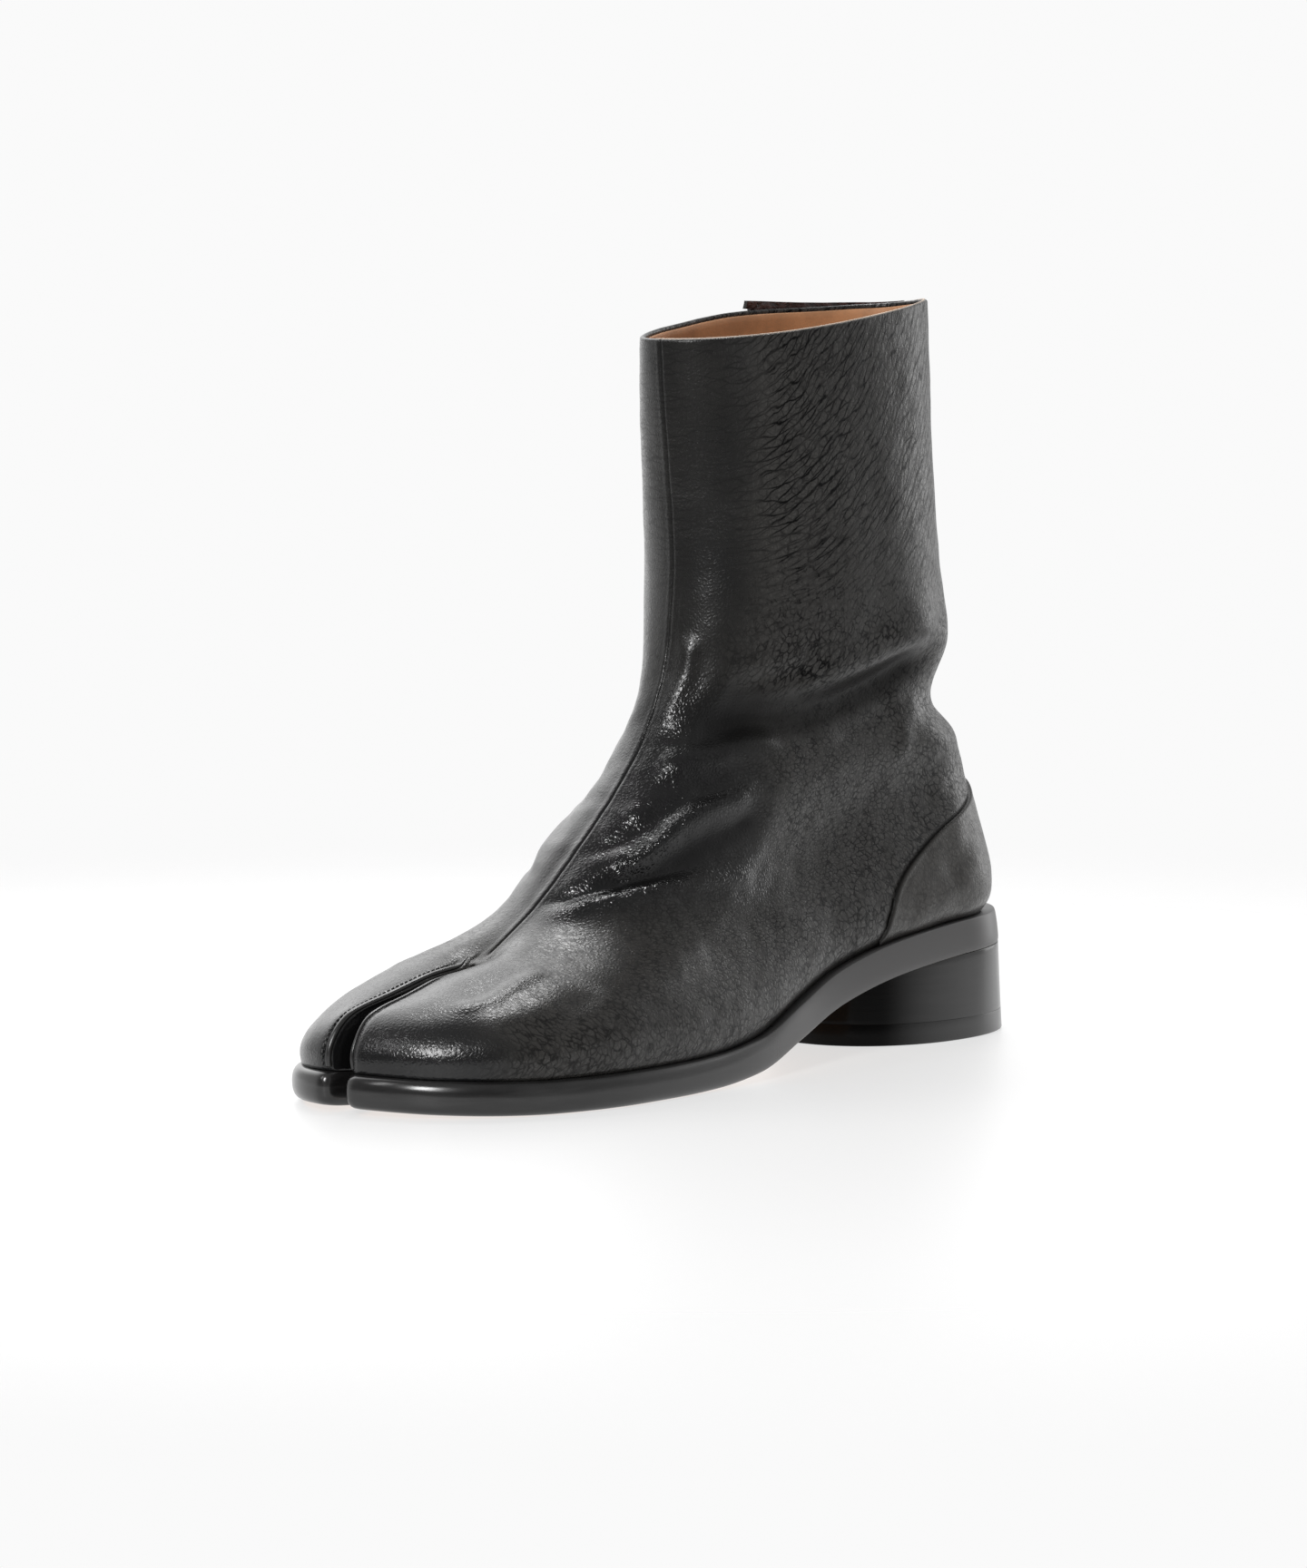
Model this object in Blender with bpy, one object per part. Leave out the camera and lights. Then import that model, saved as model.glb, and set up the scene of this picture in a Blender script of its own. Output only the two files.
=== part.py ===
"""Split-toe ankle boot, left foot, standing empty on its sole and heel.

All lengths are drawn in millimetres and written in metres.
Frame: +Z up, toe towards -Y, outer (lateral) side of the foot +X,
origin at the middle of the footprint's bounding box, on the ground.

The last is a stack of sections from the feather line to the collar.  Every
section is a back-to-front outline with its own end roundings; near the toe it
carries the cleft between the two toe lobes.  The sole, the insole, the heel
counter and the flap are all drawn from the same functions.
"""
import math

import bmesh
import bpy
import numpy as np

MM = 0.001

# ---------------------------------------------------------------- sizes (mm)
TOE_Y, HEEL_Y = -133.6, 143.5      # ends of the sole's edge
SOLE_THICK = 10.0
SOLE_TOE_ROUND = {"lateral": 72.0, "medial": 43.0}
SOLE_HEEL_ROUND = 34.0
UPPER_INSET = 2.4                  # upper stands in from the sole's edge
WALL = 2.0                         # leather and lining together
GAP = 0.3                          # clearance between neighbouring pieces
OVERLAY_GAP = 0.45                 # the same under the facets of an overlay
CLEFT_BACK_Y = -75.0               # crotch between the toe lobes
CLEFT_TIP_X = -11.0                # line of the cleft at the toe
CLEFT_HALF_FRONT, CLEFT_HALF_BACK = 3.5, 1.0
CLEFT_LENGTH = 58.0
CLEFT_CORNER = 4.0                 # rounding of each lobe into the cleft
VAMP_DIP, VAMP_DIP_WIDTH = 2.2, 9.0
CROTCH_DIP = 2.3                   # valley where the front seam runs into the cleft
COLLAR_DIP = 2.3                   # inner back of the collar, lower than the outer
HEEL_CENTRE_Y = 106.4
HEEL_HALF_WIDTH, HEEL_HALF_LENGTH = 31.6, 40.6
HEEL_INSET = 0.3                   # top of the heel inside the sole's edge
HEEL_TOP_LENGTH = 39.2             # front half of the heel's top
HEEL_POWER = 2.15
TOP_PIECE = 6.6                    # replaceable layer under the heel
INSOLE_THICK = 2.4
INSOLE_PLAY = 3.2                  # insole edge to the inside of the upper
COUNTER_THICK = 1.1
FLAP_THICK = 1.3
FLAP_RISE = 2.6                    # flap corner above the collar

# sole edge half widths before the ends are rounded: y, lateral, medial
SOLE_PLAN = [
    (143, 30.5, 31.0), (108, 31.5, 31.5), (70, 32.5, 30.0), (35, 34.8, 26.5),
    (5, 40.4, 27.0), (-25, 45.0, 34.0), (-55, 47.3, 42.5), (-80, 47.0, 46.0),
    (-105, 46.0, 48.5), (-137, 43.5, 45.0)]
# underside of the sole: y, height
SOLE_LOW = [
    (-134, 1.7), (-121, 0.7), (-108, 0.2), (-96, 0.0), (-44, 0.0), (-28, 0.3),
    (-5, 2.3), (20, 9.4), (45, 17.2), (75, 23.0), (108, 26.2), (143.5, 27.8)]
# bull-nosed edge of the sole: inset, height as a part of the thickness
SOLE_EDGE = [(2.0, 0.0), (0.6, 0.10), (0.0, 0.34), (0.0, 0.68), (0.5, 0.90), (1.7, 1.0)]

# sections of the upper, feather line to collar
#   y back, y front, z back, z front, how far the section follows the feather
#   line, share of the sole plan, bulge lateral / medial, blend to an oval,
#   oval half width, front rounding lateral / medial, its power, back rounding,
#   its power
SECTION_COLUMNS = ("yb", "yf", "zb", "zf", "follow", "scale", "bulge_l", "bulge_m",
                   "oval", "half", "front_l", "front_m", "front_p", "back", "back_p")
SECTIONS = [
    (137.9, -131.0, 38.0, 11.9, 1.00, 1.00, 0.0, 0.6, 0.00, 30.0, 68, 43, 2.20, 32, 2.25),
    (139.0, -131.4, 44.0, 16.2, 1.00, 1.00, 1.2, 1.0, 0.00, 30.0, 68, 45, 2.20, 32, 2.20),
    (139.2, -129.6, 51.0, 20.8, 1.00, 1.00, 1.6, 0.2, 0.00, 30.0, 68, 49, 2.20, 32, 2.10),
    (137.6, -125.4, 57.5, 25.6, 1.00, 1.00, 1.0, -1.6, 0.05, 30.0, 68, 53, 2.15, 32, 2.10),
    (136.1, -118.0, 63.5, 29.6, 1.00, 1.00, -0.4, -2.8, 0.10, 31.0, 68, 55, 2.10, 32, 2.10),
    (135.2, -106.5, 69.0, 33.2, 1.00, 0.99, -2.2, -2.0, 0.15, 31.0, 68, 55, 2.05, 32, 2.10),
    (134.4, -93.0, 74.0, 37.2, 1.00, 0.97, -4.2, -1.0, 0.22, 31.6, 67, 55, 2.00, 32, 2.10),
    (133.4, -75.4, 79.0, 42.4, 1.00, 0.95, -6.0, -1.8, 0.30, 32.0, 65, 54.5, 2.00, 34, 2.10),
    (131.8, -58.6, 84.0, 50.0, 0.95, 0.93, -7.5, -2.8, 0.42, 32.2, 61, 53, 2.00, 36, 2.10),
    (129.2, -44.6, 89.0, 61.0, 0.85, 0.90, -8.0, -3.4, 0.56, 32.4, 58, 49.5, 2.00, 38, 2.10),
    (124.4, -29.8, 95.0, 75.6, 0.65, 0.88, -8.0, -7.0, 0.72, 31.8, 56, 48.5, 2.00, 40, 2.10),
    (116.2, -14.4, 102.0, 92.0, 0.40, 0.86, -7.0, -7.0, 0.86, 28.8, 54, 50.5, 2.00, 42, 2.10),
    (117.6, -4.0, 110.5, 107.6, 0.15, 0.85, -6.0, -6.0, 0.96, 27.8, 52, 52, 2.00, 46, 2.10),
    (122.8, 1.2, 120.5, 120.6, 0.00, 0.85, -5.0, -5.0, 1.00, 29.8, 52, 51.5, 2.00, 50, 2.10),
    (121.4, 3.4, 133.0, 134.8, 0.00, 0.85, -5.0, -5.0, 1.00, 32.2, 53, 51, 2.00, 54, 2.05),
    (117.0, 4.2, 157.0, 155.0, 0.00, 0.85, -5.0, -5.0, 1.00, 32.6, 54, 52, 2.00, 54, 2.00),
    (115.4, 1.2, 190.0, 184.5, 0.00, 0.85, -5.0, -5.0, 1.00, 31.4, 55, 53, 2.00, 55, 2.00),
    (116.2, -1.6, 225.4, 216.0, 0.00, 0.85, -5.0, -5.0, 1.00, 28.0, 58, 56, 2.00, 58, 2.00)]
COLLAR = len(SECTIONS) - 1

# edge of the heel counter: way round the section (0 back, 1 front), section
COUNTER_EDGE = [(0.0, 7.1), (0.10, 6.6), (0.164, 5.85), (0.21, 5.4), (0.244, 5.0), (0.27, 4.55),
                (0.294, 4.0), (0.312, 3.5), (0.326, 2.95), (0.336, 2.3), (0.341, 1.7), (0.344, 1.0), (0.347, 0.25)]
COUNTER_WAYS = (0, .03, .06, .09, .12, .15, .18, .21, .24, .265, .29, .312, .328, .338, .343, .347)
COUNTER_LOW = 0.10                 # section of its lower edge
# flap: way round the section on the medial side, lowest section at each place
FLAP_FROM, FLAP_TO = 0.02, 0.42
FLAP_LOW = 12.75

# mesh density: points on each side, in the rounding, in the cleft; sections
SIDE_POINTS, CORNER_POINTS, CLEFT_POINTS = 21, 3, 6
LEVELS = [0, .5, 1, 1.7, 2.4, 3.1, 3.8, 4.5, 5.2, 5.9, 6.6, 7.3, 8, 8.7, 9.4, 10,
          10.6, 11.2, 11.8, 12.4, 13, 13.6, 14.3, 15, 15.9, 17]


# ------------------------------------------------------------- small curves
def spline(table, column):
    """Natural cubic through one column of a table keyed by its first column."""
    rows = sorted((r[0], r[column]) for r in table)
    x = np.array([r[0] for r in rows], float)
    y = np.array([r[1] for r in rows], float)
    n, h = len(x), np.diff(x)
    a, b = np.eye(n), np.zeros(n)
    for i in range(1, n - 1):
        a[i, i - 1:i + 2] = h[i - 1], 2 * (h[i - 1] + h[i]), h[i]
        b[i] = 6 * ((y[i + 1] - y[i]) / h[i] - (y[i] - y[i - 1]) / h[i - 1])
    m = np.linalg.solve(a, b)

    def at(q):
        q = np.clip(np.asarray(q, float), x[0], x[-1])
        i = np.clip(np.searchsorted(x, q) - 1, 0, n - 2)
        u, v = (x[i + 1] - q) / h[i], (q - x[i]) / h[i]
        return u * y[i] + v * y[i + 1] + ((u ** 3 - u) * m[i] + (v ** 3 - v) * m[i + 1]) * h[i] ** 2 / 6
    return at


def monotone(table, column=1):
    """Shape-keeping cubic: flats in the table stay exactly flat."""
    rows = sorted((r[0], r[column]) for r in table)
    x = np.array([r[0] for r in rows], float)
    y = np.array([r[1] for r in rows], float)
    h = np.diff(x)
    d = np.diff(y) / h
    m = np.zeros(len(x))
    for i in range(1, len(x) - 1):
        if d[i - 1] * d[i] > 0:
            p, q = 2 * h[i] + h[i - 1], h[i] + 2 * h[i - 1]
            m[i] = (p + q) / (p / d[i - 1] + q / d[i])
    m[0], m[-1] = d[0], d[-1]

    def at(q):
        q = np.clip(np.asarray(q, float), x[0], x[-1])
        i = np.clip(np.searchsorted(x, q) - 1, 0, len(h) - 1)
        t = (q - x[i]) / h[i]
        return ((1 + 2 * t) * (1 - t) ** 2 * y[i] + t * (1 - t) ** 2 * h[i] * m[i]
                + t * t * (3 - 2 * t) * y[i + 1] + t * t * (t - 1) * h[i] * m[i + 1])
    return at


def ease(a, b, x):
    t = np.clip((np.asarray(x, float) - a) / (b - a), 0, 1)
    return t * t * (3 - 2 * t)


plan_lateral, plan_medial = spline(SOLE_PLAN, 1), spline(SOLE_PLAN, 2)
sole_low = monotone(SOLE_LOW)
_keyed = [(k,) + row for k, row in enumerate(SECTIONS)]
section_column = {name: spline(_keyed, i + 1) for i, name in enumerate(SECTION_COLUMNS)}


def feather(y):
    return sole_low(y) + SOLE_THICK


def cleft_x(y):
    """Line of the cleft and of the front seam that runs on from it."""
    return CLEFT_TIP_X * ease(-10, -120, y)


def cleft_half(y):
    part = np.clip((CLEFT_BACK_Y - y) / CLEFT_LENGTH, 0, 1.1)
    return CLEFT_HALF_BACK + (CLEFT_HALF_FRONT - CLEFT_HALF_BACK) * part ** 2


def end_round(distance, length, power):
    q = np.clip(distance / length, 0, 1)
    return np.maximum(1 - (1 - q) ** power, 0) ** (1 / power)


# ---------------------------------------------------------------- outlines
def outline_point(sec, phi, side):
    """One side of a section without the cleft; phi 0 at the back, pi in front."""
    y = sec["yb"] + (sec["yf"] - sec["yb"]) * (1 - np.cos(phi)) / 2
    mid = sec["tip_x"] * ease(sec["yb"] - 0.25 * (sec["yb"] - sec["yf"]), sec["yf"], y)
    width = sec["lateral"](y) if side > 0 else sec["medial"](y)
    front = sec["front_l"] if side > 0 else sec["front_m"]
    e = (end_round(sec["yb"] - y, sec["back"], sec["back_p"])
         * end_round(y - sec["yf"], front, sec["front_p"]))
    return mid + side * (width - side * mid) * e, y


def half_outline(sec, side, n_side, n_corner, n_cleft):
    """Points from the middle of the back to the crotch (or front seam)."""
    phi = np.linspace(0, math.pi, 1201)
    x, y = outline_point(sec, phi, side)
    wider = sec.get("slot", 0.0)
    back_y = CLEFT_BACK_Y + wider
    half = float(cleft_half(sec["yf"])) + wider
    reach = half + CLEFT_CORNER
    off = side * (x - cleft_x(y))
    k = len(phi) - 1
    while k > 0 and off[k] < reach:
        k -= 1
    part = (off[k] - reach) / max(off[k] - off[k + 1], 1e-9)
    turn = phi[k] + part * (phi[k + 1] - phi[k])
    ax, ay = outline_point(sec, np.linspace(0, turn, n_side + 1), side)
    n_front = n_corner + n_cleft
    fx, fy = outline_point(sec, turn + (math.pi - turn) * np.linspace(0, 1, n_front + 1)[1:], side)
    front = np.stack([fx, fy], 1)
    depth = back_y - sec["yf"]
    if depth > 0:
        start = np.array([ax[-1], ay[-1]])
        corner = min(CLEFT_CORNER, 0.45 * max(back_y - start[1], 0.5))
        y_wall = start[1] + corner

        def wall_half(yy):
            return np.minimum(cleft_half(yy) + wider, half)
        knee = np.array([cleft_x(start[1]) + side * wall_half(start[1]), start[1] - 0.10 * corner])
        first = np.array([cleft_x(y_wall) + side * wall_half(y_wall), y_wall])
        t = np.linspace(0, 1, n_corner + 1)[1:, None]
        bend = (1 - t) ** 2 * start + 2 * t * (1 - t) * knee + t ** 2 * first
        y_end = back_y - float(wall_half(back_y))
        n_wall = max(n_cleft - 3, 1)
        wy = y_wall + (y_end - y_wall) * np.linspace(0, 1, n_wall + 1)[1:]
        wall = np.stack([cleft_x(wy) + side * wall_half(wy), wy], 1)
        r = float(wall_half(y_end))
        a = np.linspace(0, math.pi / 2, n_cleft - n_wall + 1)[1:]
        crotch = np.stack([cleft_x(y_end) + side * r * np.cos(a), y_end + r * np.sin(a)], 1)
        slot = np.concatenate([bend, wall, crotch])
        blend = float(ease(0, 7, depth))
        front = (1 - blend) * front + blend * slot
    return np.concatenate([np.stack([ax, ay], 1), front])


def closed_outline(sec, n_side=SIDE_POINTS, n_corner=CORNER_POINTS, n_cleft=CLEFT_POINTS):
    lateral = half_outline(sec, 1, n_side, n_corner, n_cleft)
    medial = half_outline(sec, -1, n_side, n_corner, n_cleft)
    return np.concatenate([lateral, medial[::-1][1:-1]])


def sole_section(inset, slot=0.0):
    return {"slot": slot,
            "yb": HEEL_Y - inset, "yf": TOE_Y + inset, "tip_x": float(cleft_x(TOE_Y)),
            "lateral": lambda y: plan_lateral(y) - inset, "medial": lambda y: plan_medial(y) - inset,
            "front_l": SOLE_TOE_ROUND["lateral"] - inset, "front_m": SOLE_TOE_ROUND["medial"] - inset,
            "front_p": 2.2, "back": SOLE_HEEL_ROUND - inset, "back_p": 2.25}


def upper_section(s):
    v = {name: float(f(s)) for name, f in section_column.items()}
    oval = min(max(v["oval"], 0.0), 1.0)

    def width(plan, bulge):
        def at(y):
            # the heel swells alike on both sides, the forefoot has its own bulge
            swell = v["bulge_l"] + (bulge - v["bulge_l"]) * ease(60, -20, y)
            return (1 - oval) * ((plan(y) - UPPER_INSET) * v["scale"] + swell) + oval * v["half"]
        return at
    v["tip_x"] = float(cleft_x(v["yf"]))
    v["lateral"] = width(plan_lateral, v["bulge_l"])
    v["medial"] = width(plan_medial, v["bulge_m"])
    return v


def section_height(sec, s, x, y):
    way = np.clip((sec["yb"] - y) / (sec["yb"] - sec["yf"]), 0, 1)
    chord = feather(sec["yb"]) * (1 - way) + feather(sec["yf"]) * way
    follow = min(max(sec["follow"], 0.0), 1.0)
    swing = 0.55 * float(ease(14, 17, s))
    way = (1 - swing) * way + swing * way * way * (3 - 2 * way)
    z = follow * (feather(y) - chord) + sec["zb"] * (1 - way) + sec["zf"] * way
    near = np.exp(-(np.abs(x - cleft_x(y)) / VAMP_DIP_WIDTH) ** 2)
    z = z - VAMP_DIP * near * ease(-40, -78, y) * ease(3.0, 5.5, s) * ease(11, 8, s)
    near = np.exp(-(np.abs(x - cleft_x(y)) / 7.0) ** 2 - ((y - CLEFT_BACK_Y) / 10.0) ** 2)
    z = z - CROTCH_DIP * near * ease(4.5, 6.6, s) * ease(9.0, 7.4, s)
    z = z - COLLAR_DIP * ease(14.5, 17, s) * ease(18, -12, x) * ease(58, 104, y)
    return z if s > 0 else feather(y) + GAP


def upper_ring(s, *density):
    sec = upper_section(s)
    xy = closed_outline(sec, *density)
    return np.column_stack([xy, section_height(sec, s, xy[:, 0], xy[:, 1])])


def upper_side(s, way):
    """Points at given ways round the medial (negative) or lateral (positive) side."""
    sec = upper_section(s)
    out = []
    for w in np.atleast_1d(way):
        x, y = outline_point(sec, np.array([abs(w) * math.pi]), 1 if w >= 0 else -1)
        out.append((x[0], y[0], section_height(sec, s, x, y)[0]))
    return np.array(out)


# ------------------------------------------------------------ surface tools
def grid_normals(grid, closed):
    """Unit normals of a grid of points [level, around]."""
    if closed:
        du = np.roll(grid, -1, 1) - np.roll(grid, 1, 1)
    else:
        du = np.gradient(grid, axis=1)
    dv = np.gradient(grid, axis=0)
    n = np.cross(dv, du)
    length = np.linalg.norm(n, axis=2, keepdims=True)
    return n / np.maximum(length, 1e-9)


def make_piece(name, points, faces, material):
    mesh = bpy.data.meshes.new(name)
    mesh.from_pydata([tuple(p) for p in points], [], faces)
    mesh.validate()
    bm = bmesh.new()
    bm.from_mesh(mesh)
    bmesh.ops.recalc_face_normals(bm, faces=bm.faces)
    if bm.calc_volume(signed=True) < 0:
        bmesh.ops.reverse_faces(bm, faces=bm.faces)
    bm.to_mesh(mesh)
    bm.free()
    mesh.materials.append(material)
    piece = bpy.data.objects.new(name, mesh)
    bpy.context.scene.collection.objects.link(piece)
    return piece


def material(name, colour, rough):
    mat = bpy.data.materials.new(name)
    mat.use_nodes = True
    shader = mat.node_tree.nodes["Principled BSDF"]
    shader.inputs["Base Color"].default_value = (*colour, 1)
    shader.inputs["Roughness"].default_value = rough
    return mat


def wrap(rows, cols, first=0, flip=False):
    """Quads of a closed tube of rows x cols points."""
    faces = []
    for r in range(rows - 1):
        for c in range(cols):
            d = (c + 1) % cols
            q = [first + r * cols + c, first + r * cols + d, first + (r + 1) * cols + d, first + (r + 1) * cols + c]
            faces.append(q[::-1] if flip else q)
    return faces


def zipper(points, a, b):
    """Triangles between two chains that both run forward (falling y)."""
    faces, i, j = [], 0, 0
    while i < len(a) - 1 or j < len(b) - 1:
        step_a = j == len(b) - 1 or (i < len(a) - 1 and points[a[i + 1]][1] >= points[b[j + 1]][1])
        if step_a:
            tri = (a[i], a[i + 1], b[j])
            i += 1
        else:
            tri = (a[i], b[j + 1], b[j])
            j += 1
        if len(set(tri)) == 3:
            faces.append(tri)
    return faces


def sole_cap(ring, n_side, n_corner, n_cleft, first=0):
    """Triangles that close a sole outline: body, then the two toe lobes."""
    n_half = n_side + n_corner + n_cleft
    count = len(ring)
    crotch = n_half
    lateral = list(range(0, n_half + 1))
    medial = [0] + [count - k for k in range(1, n_half)] + [crotch]
    y_crotch = ring[crotch][1]
    faces = []
    cut = []
    for chain in (lateral, medial):
        k = max(i for i in range(n_side + 1) if ring[chain[i]][1] > y_crotch)
        cut.append(k)
        tip = min(range(k, n_half), key=lambda i: ring[chain[i]][1])
        outer = [chain[i] for i in range(k, tip + 1)]
        inner = [chain[i] for i in range(n_half, tip - 1, -1)]
        faces += zipper(ring, outer, inner)
    faces += zipper(ring, lateral[:cut[0] + 1], medial[:cut[1] + 1])
    faces.append((lateral[cut[0]], crotch, medial[cut[1]]))
    return [tuple(first + i for i in f) for f in faces]


# ------------------------------------------------------------------- pieces
def build_sole_like(name, edge, low, thick, base_inset, slot, mat):
    """Outsole or insole: a stack of inset outlines with both ends capped."""
    n = (SIDE_POINTS, CORNER_POINTS, CLEFT_POINTS)
    rings = []
    for inset, part in edge:
        xy = closed_outline(sole_section(base_inset + inset, slot + 0.5 * inset), *n)
        rings.append(np.column_stack([xy, low(xy[:, 1]) + part * thick]))
    pts = np.concatenate(rings)
    cols = len(rings[0])
    faces = wrap(len(rings), cols)
    faces += sole_cap(rings[0], *n)
    faces += sole_cap(rings[-1], *n, first=(len(rings) - 1) * cols)
    return make_piece(name, pts, faces, mat)


def heel_ring(part, inset=0.0, n=44):
    """Outline of the heel: an oval at its foot (part 0), and at its top (part 1)
    flush with the sole's edge behind and an oval again in front."""
    a = np.linspace(0, 2 * math.pi, n, endpoint=False)
    c, s = np.cos(a), np.sin(a)
    foot = 1 / ((np.abs(s) / HEEL_HALF_WIDTH) ** HEEL_POWER + (np.abs(c) / HEEL_HALF_LENGTH) ** HEEL_POWER) ** (1 / HEEL_POWER)
    sole = sole_section(HEEL_INSET)
    top = np.zeros(n)
    for side in (1, -1):
        x, y = outline_point(sole, np.linspace(0, 0.5 * math.pi, 801), side)
        way = np.arctan2(side * x, y - HEEL_CENTRE_Y)
        behind = way <= 0.5 * math.pi
        reach = np.hypot(x, y - HEEL_CENTRE_Y)[behind]
        mine = (s * side > 0) | ((s == 0) & (side > 0)) | (np.abs(s) < 1e-9)
        width = reach[-1]
        front = 1 / ((np.abs(s) / width) ** HEEL_POWER + (np.abs(c) / HEEL_TOP_LENGTH) ** HEEL_POWER) ** (1 / HEEL_POWER)
        back = np.interp(np.arctan2(np.abs(s), c), way[behind], reach)
        top[mine] = np.where(c[mine] > 0, back[mine], front[mine])
    r = (1 - part) * foot + part * top - inset
    return np.column_stack([r * s, r * c + HEEL_CENTRE_Y])


def build_heel(name, levels, mat):
    """levels: functions of y giving each ring's height, its part of the way up and its inset."""
    rings = []
    for height, part, inset in levels:
        xy = heel_ring(part, inset)
        rings.append(np.column_stack([xy, height(xy[:, 1])]))
    pts = np.concatenate(rings)
    n = len(rings[0])
    faces = wrap(len(rings), n)
    right = list(range(0, n // 2 + 1))
    left = [0] + list(range(n - 1, n // 2 - 1, -1))
    for r in (0, len(rings) - 1):
        faces += [tuple(r * n + i for i in f) for f in zipper(rings[r], right, left)]
    return make_piece(name, pts, faces, mat)


def build_upper(name, mat):
    outer = np.array([upper_ring(s) for s in LEVELS])
    normal = grid_normals(outer, True)
    inner = outer - WALL * normal
    inner[0, :, 2] = feather(inner[0, :, 1]) + GAP
    inner[-1, :, 2] = outer[-1, :, 2]
    rows, cols = outer.shape[:2]
    pts = np.concatenate([outer.reshape(-1, 3), inner.reshape(-1, 3)])
    shift = rows * cols
    faces = wrap(rows, cols) + wrap(rows, cols, shift, True)
    for r in (0, rows - 1):
        for c in range(cols):
            d = (c + 1) % cols
            q = [r * cols + c, r * cols + d, shift + r * cols + d, shift + r * cols + c]
            faces.append(q if r else q[::-1])
    return make_piece(name, pts, faces, mat)


def build_patch(name, grid, normal, low, high, mat):
    """A sheet that follows a grid of points between two offsets."""
    rows, cols = grid.shape[:2]
    pts = np.concatenate([(grid + low * normal).reshape(-1, 3), (grid + high * normal).reshape(-1, 3)])
    shift = rows * cols
    faces = []
    for r in range(rows - 1):
        for c in range(cols - 1):
            q = [r * cols + c, r * cols + c + 1, (r + 1) * cols + c + 1, (r + 1) * cols + c]
            faces.append(q[::-1])
            faces.append([shift + i for i in q])
    rim = ([(0, c) for c in range(cols)] + [(r, cols - 1) for r in range(1, rows)]
           + [(rows - 1, c) for c in range(cols - 2, -1, -1)] + [(r, 0) for r in range(rows - 2, 0, -1)])
    rim = [r * cols + c for r, c in rim]
    for a, b in zip(rim, rim[1:] + rim[:1]):
        faces.append([a, b, shift + b, shift + a])
    return make_piece(name, pts, faces, mat)


def side_normal(s, way):
    """Outward normal of the upper at one place of a side."""
    d, e = 0.02, 0.05
    sign = 1 if way >= 0 else -1
    lo, hi = max(s - e, 0.0), min(s + e, float(COLLAR))
    a0, a1 = upper_side(s, [way - d])[0], upper_side(s, [way + d])[0]
    b0, b1 = upper_side(lo, [way])[0], upper_side(hi, [way])[0]
    n = np.cross(a1 - a0, b1 - b0)
    n /= np.linalg.norm(n)
    mid = np.array([0.0, 60.0, 0.0])
    out = upper_side(s, [way])[0] - mid
    out[2] = 0
    return n if n @ out > 0 else -n


def build_counter(name, mat):
    top = monotone(COUNTER_EDGE)
    half = np.array(COUNTER_WAYS)
    ways = np.concatenate([-half[:0:-1], half])
    n_up = 7
    grid = np.zeros((n_up, len(ways), 3))
    normal = np.zeros_like(grid)
    for c, w in enumerate(ways):
        for r in range(n_up):
            s = COUNTER_LOW + (float(top(abs(w))) - COUNTER_LOW) * r / (n_up - 1)
            grid[r, c] = upper_side(s, [w])[0]
            normal[r, c] = side_normal(s, w)
    return build_patch(name, grid, normal, OVERLAY_GAP, OVERLAY_GAP + COUNTER_THICK, mat)


def build_flap(name, mat):
    ways = np.linspace(FLAP_FROM, FLAP_TO, 15)
    levels = [FLAP_LOW, 13.1, 13.5, 14.0, 14.6, 15.2, 15.9, 16.5, float(COLLAR)]
    grid = np.zeros((len(levels) + 1, len(ways), 3))
    normal = np.zeros_like(grid)
    for c, w in enumerate(ways):
        lift = FLAP_RISE * ((w - FLAP_FROM) / (FLAP_TO - FLAP_FROM)) ** 2
        for r, s in enumerate(levels):
            grid[r, c] = upper_side(s, [-w])[0]
            normal[r, c] = side_normal(s, -w)
        grid[-1, c] = grid[-2, c] + np.array([0, 0, 0.4 + lift])
        normal[-1, c] = normal[-2, c]
    normal[..., 2] *= 0.2
    normal /= np.linalg.norm(normal, axis=2, keepdims=True)
    return build_patch(name, grid, normal, OVERLAY_GAP, OVERLAY_GAP + FLAP_THICK, mat)


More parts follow.
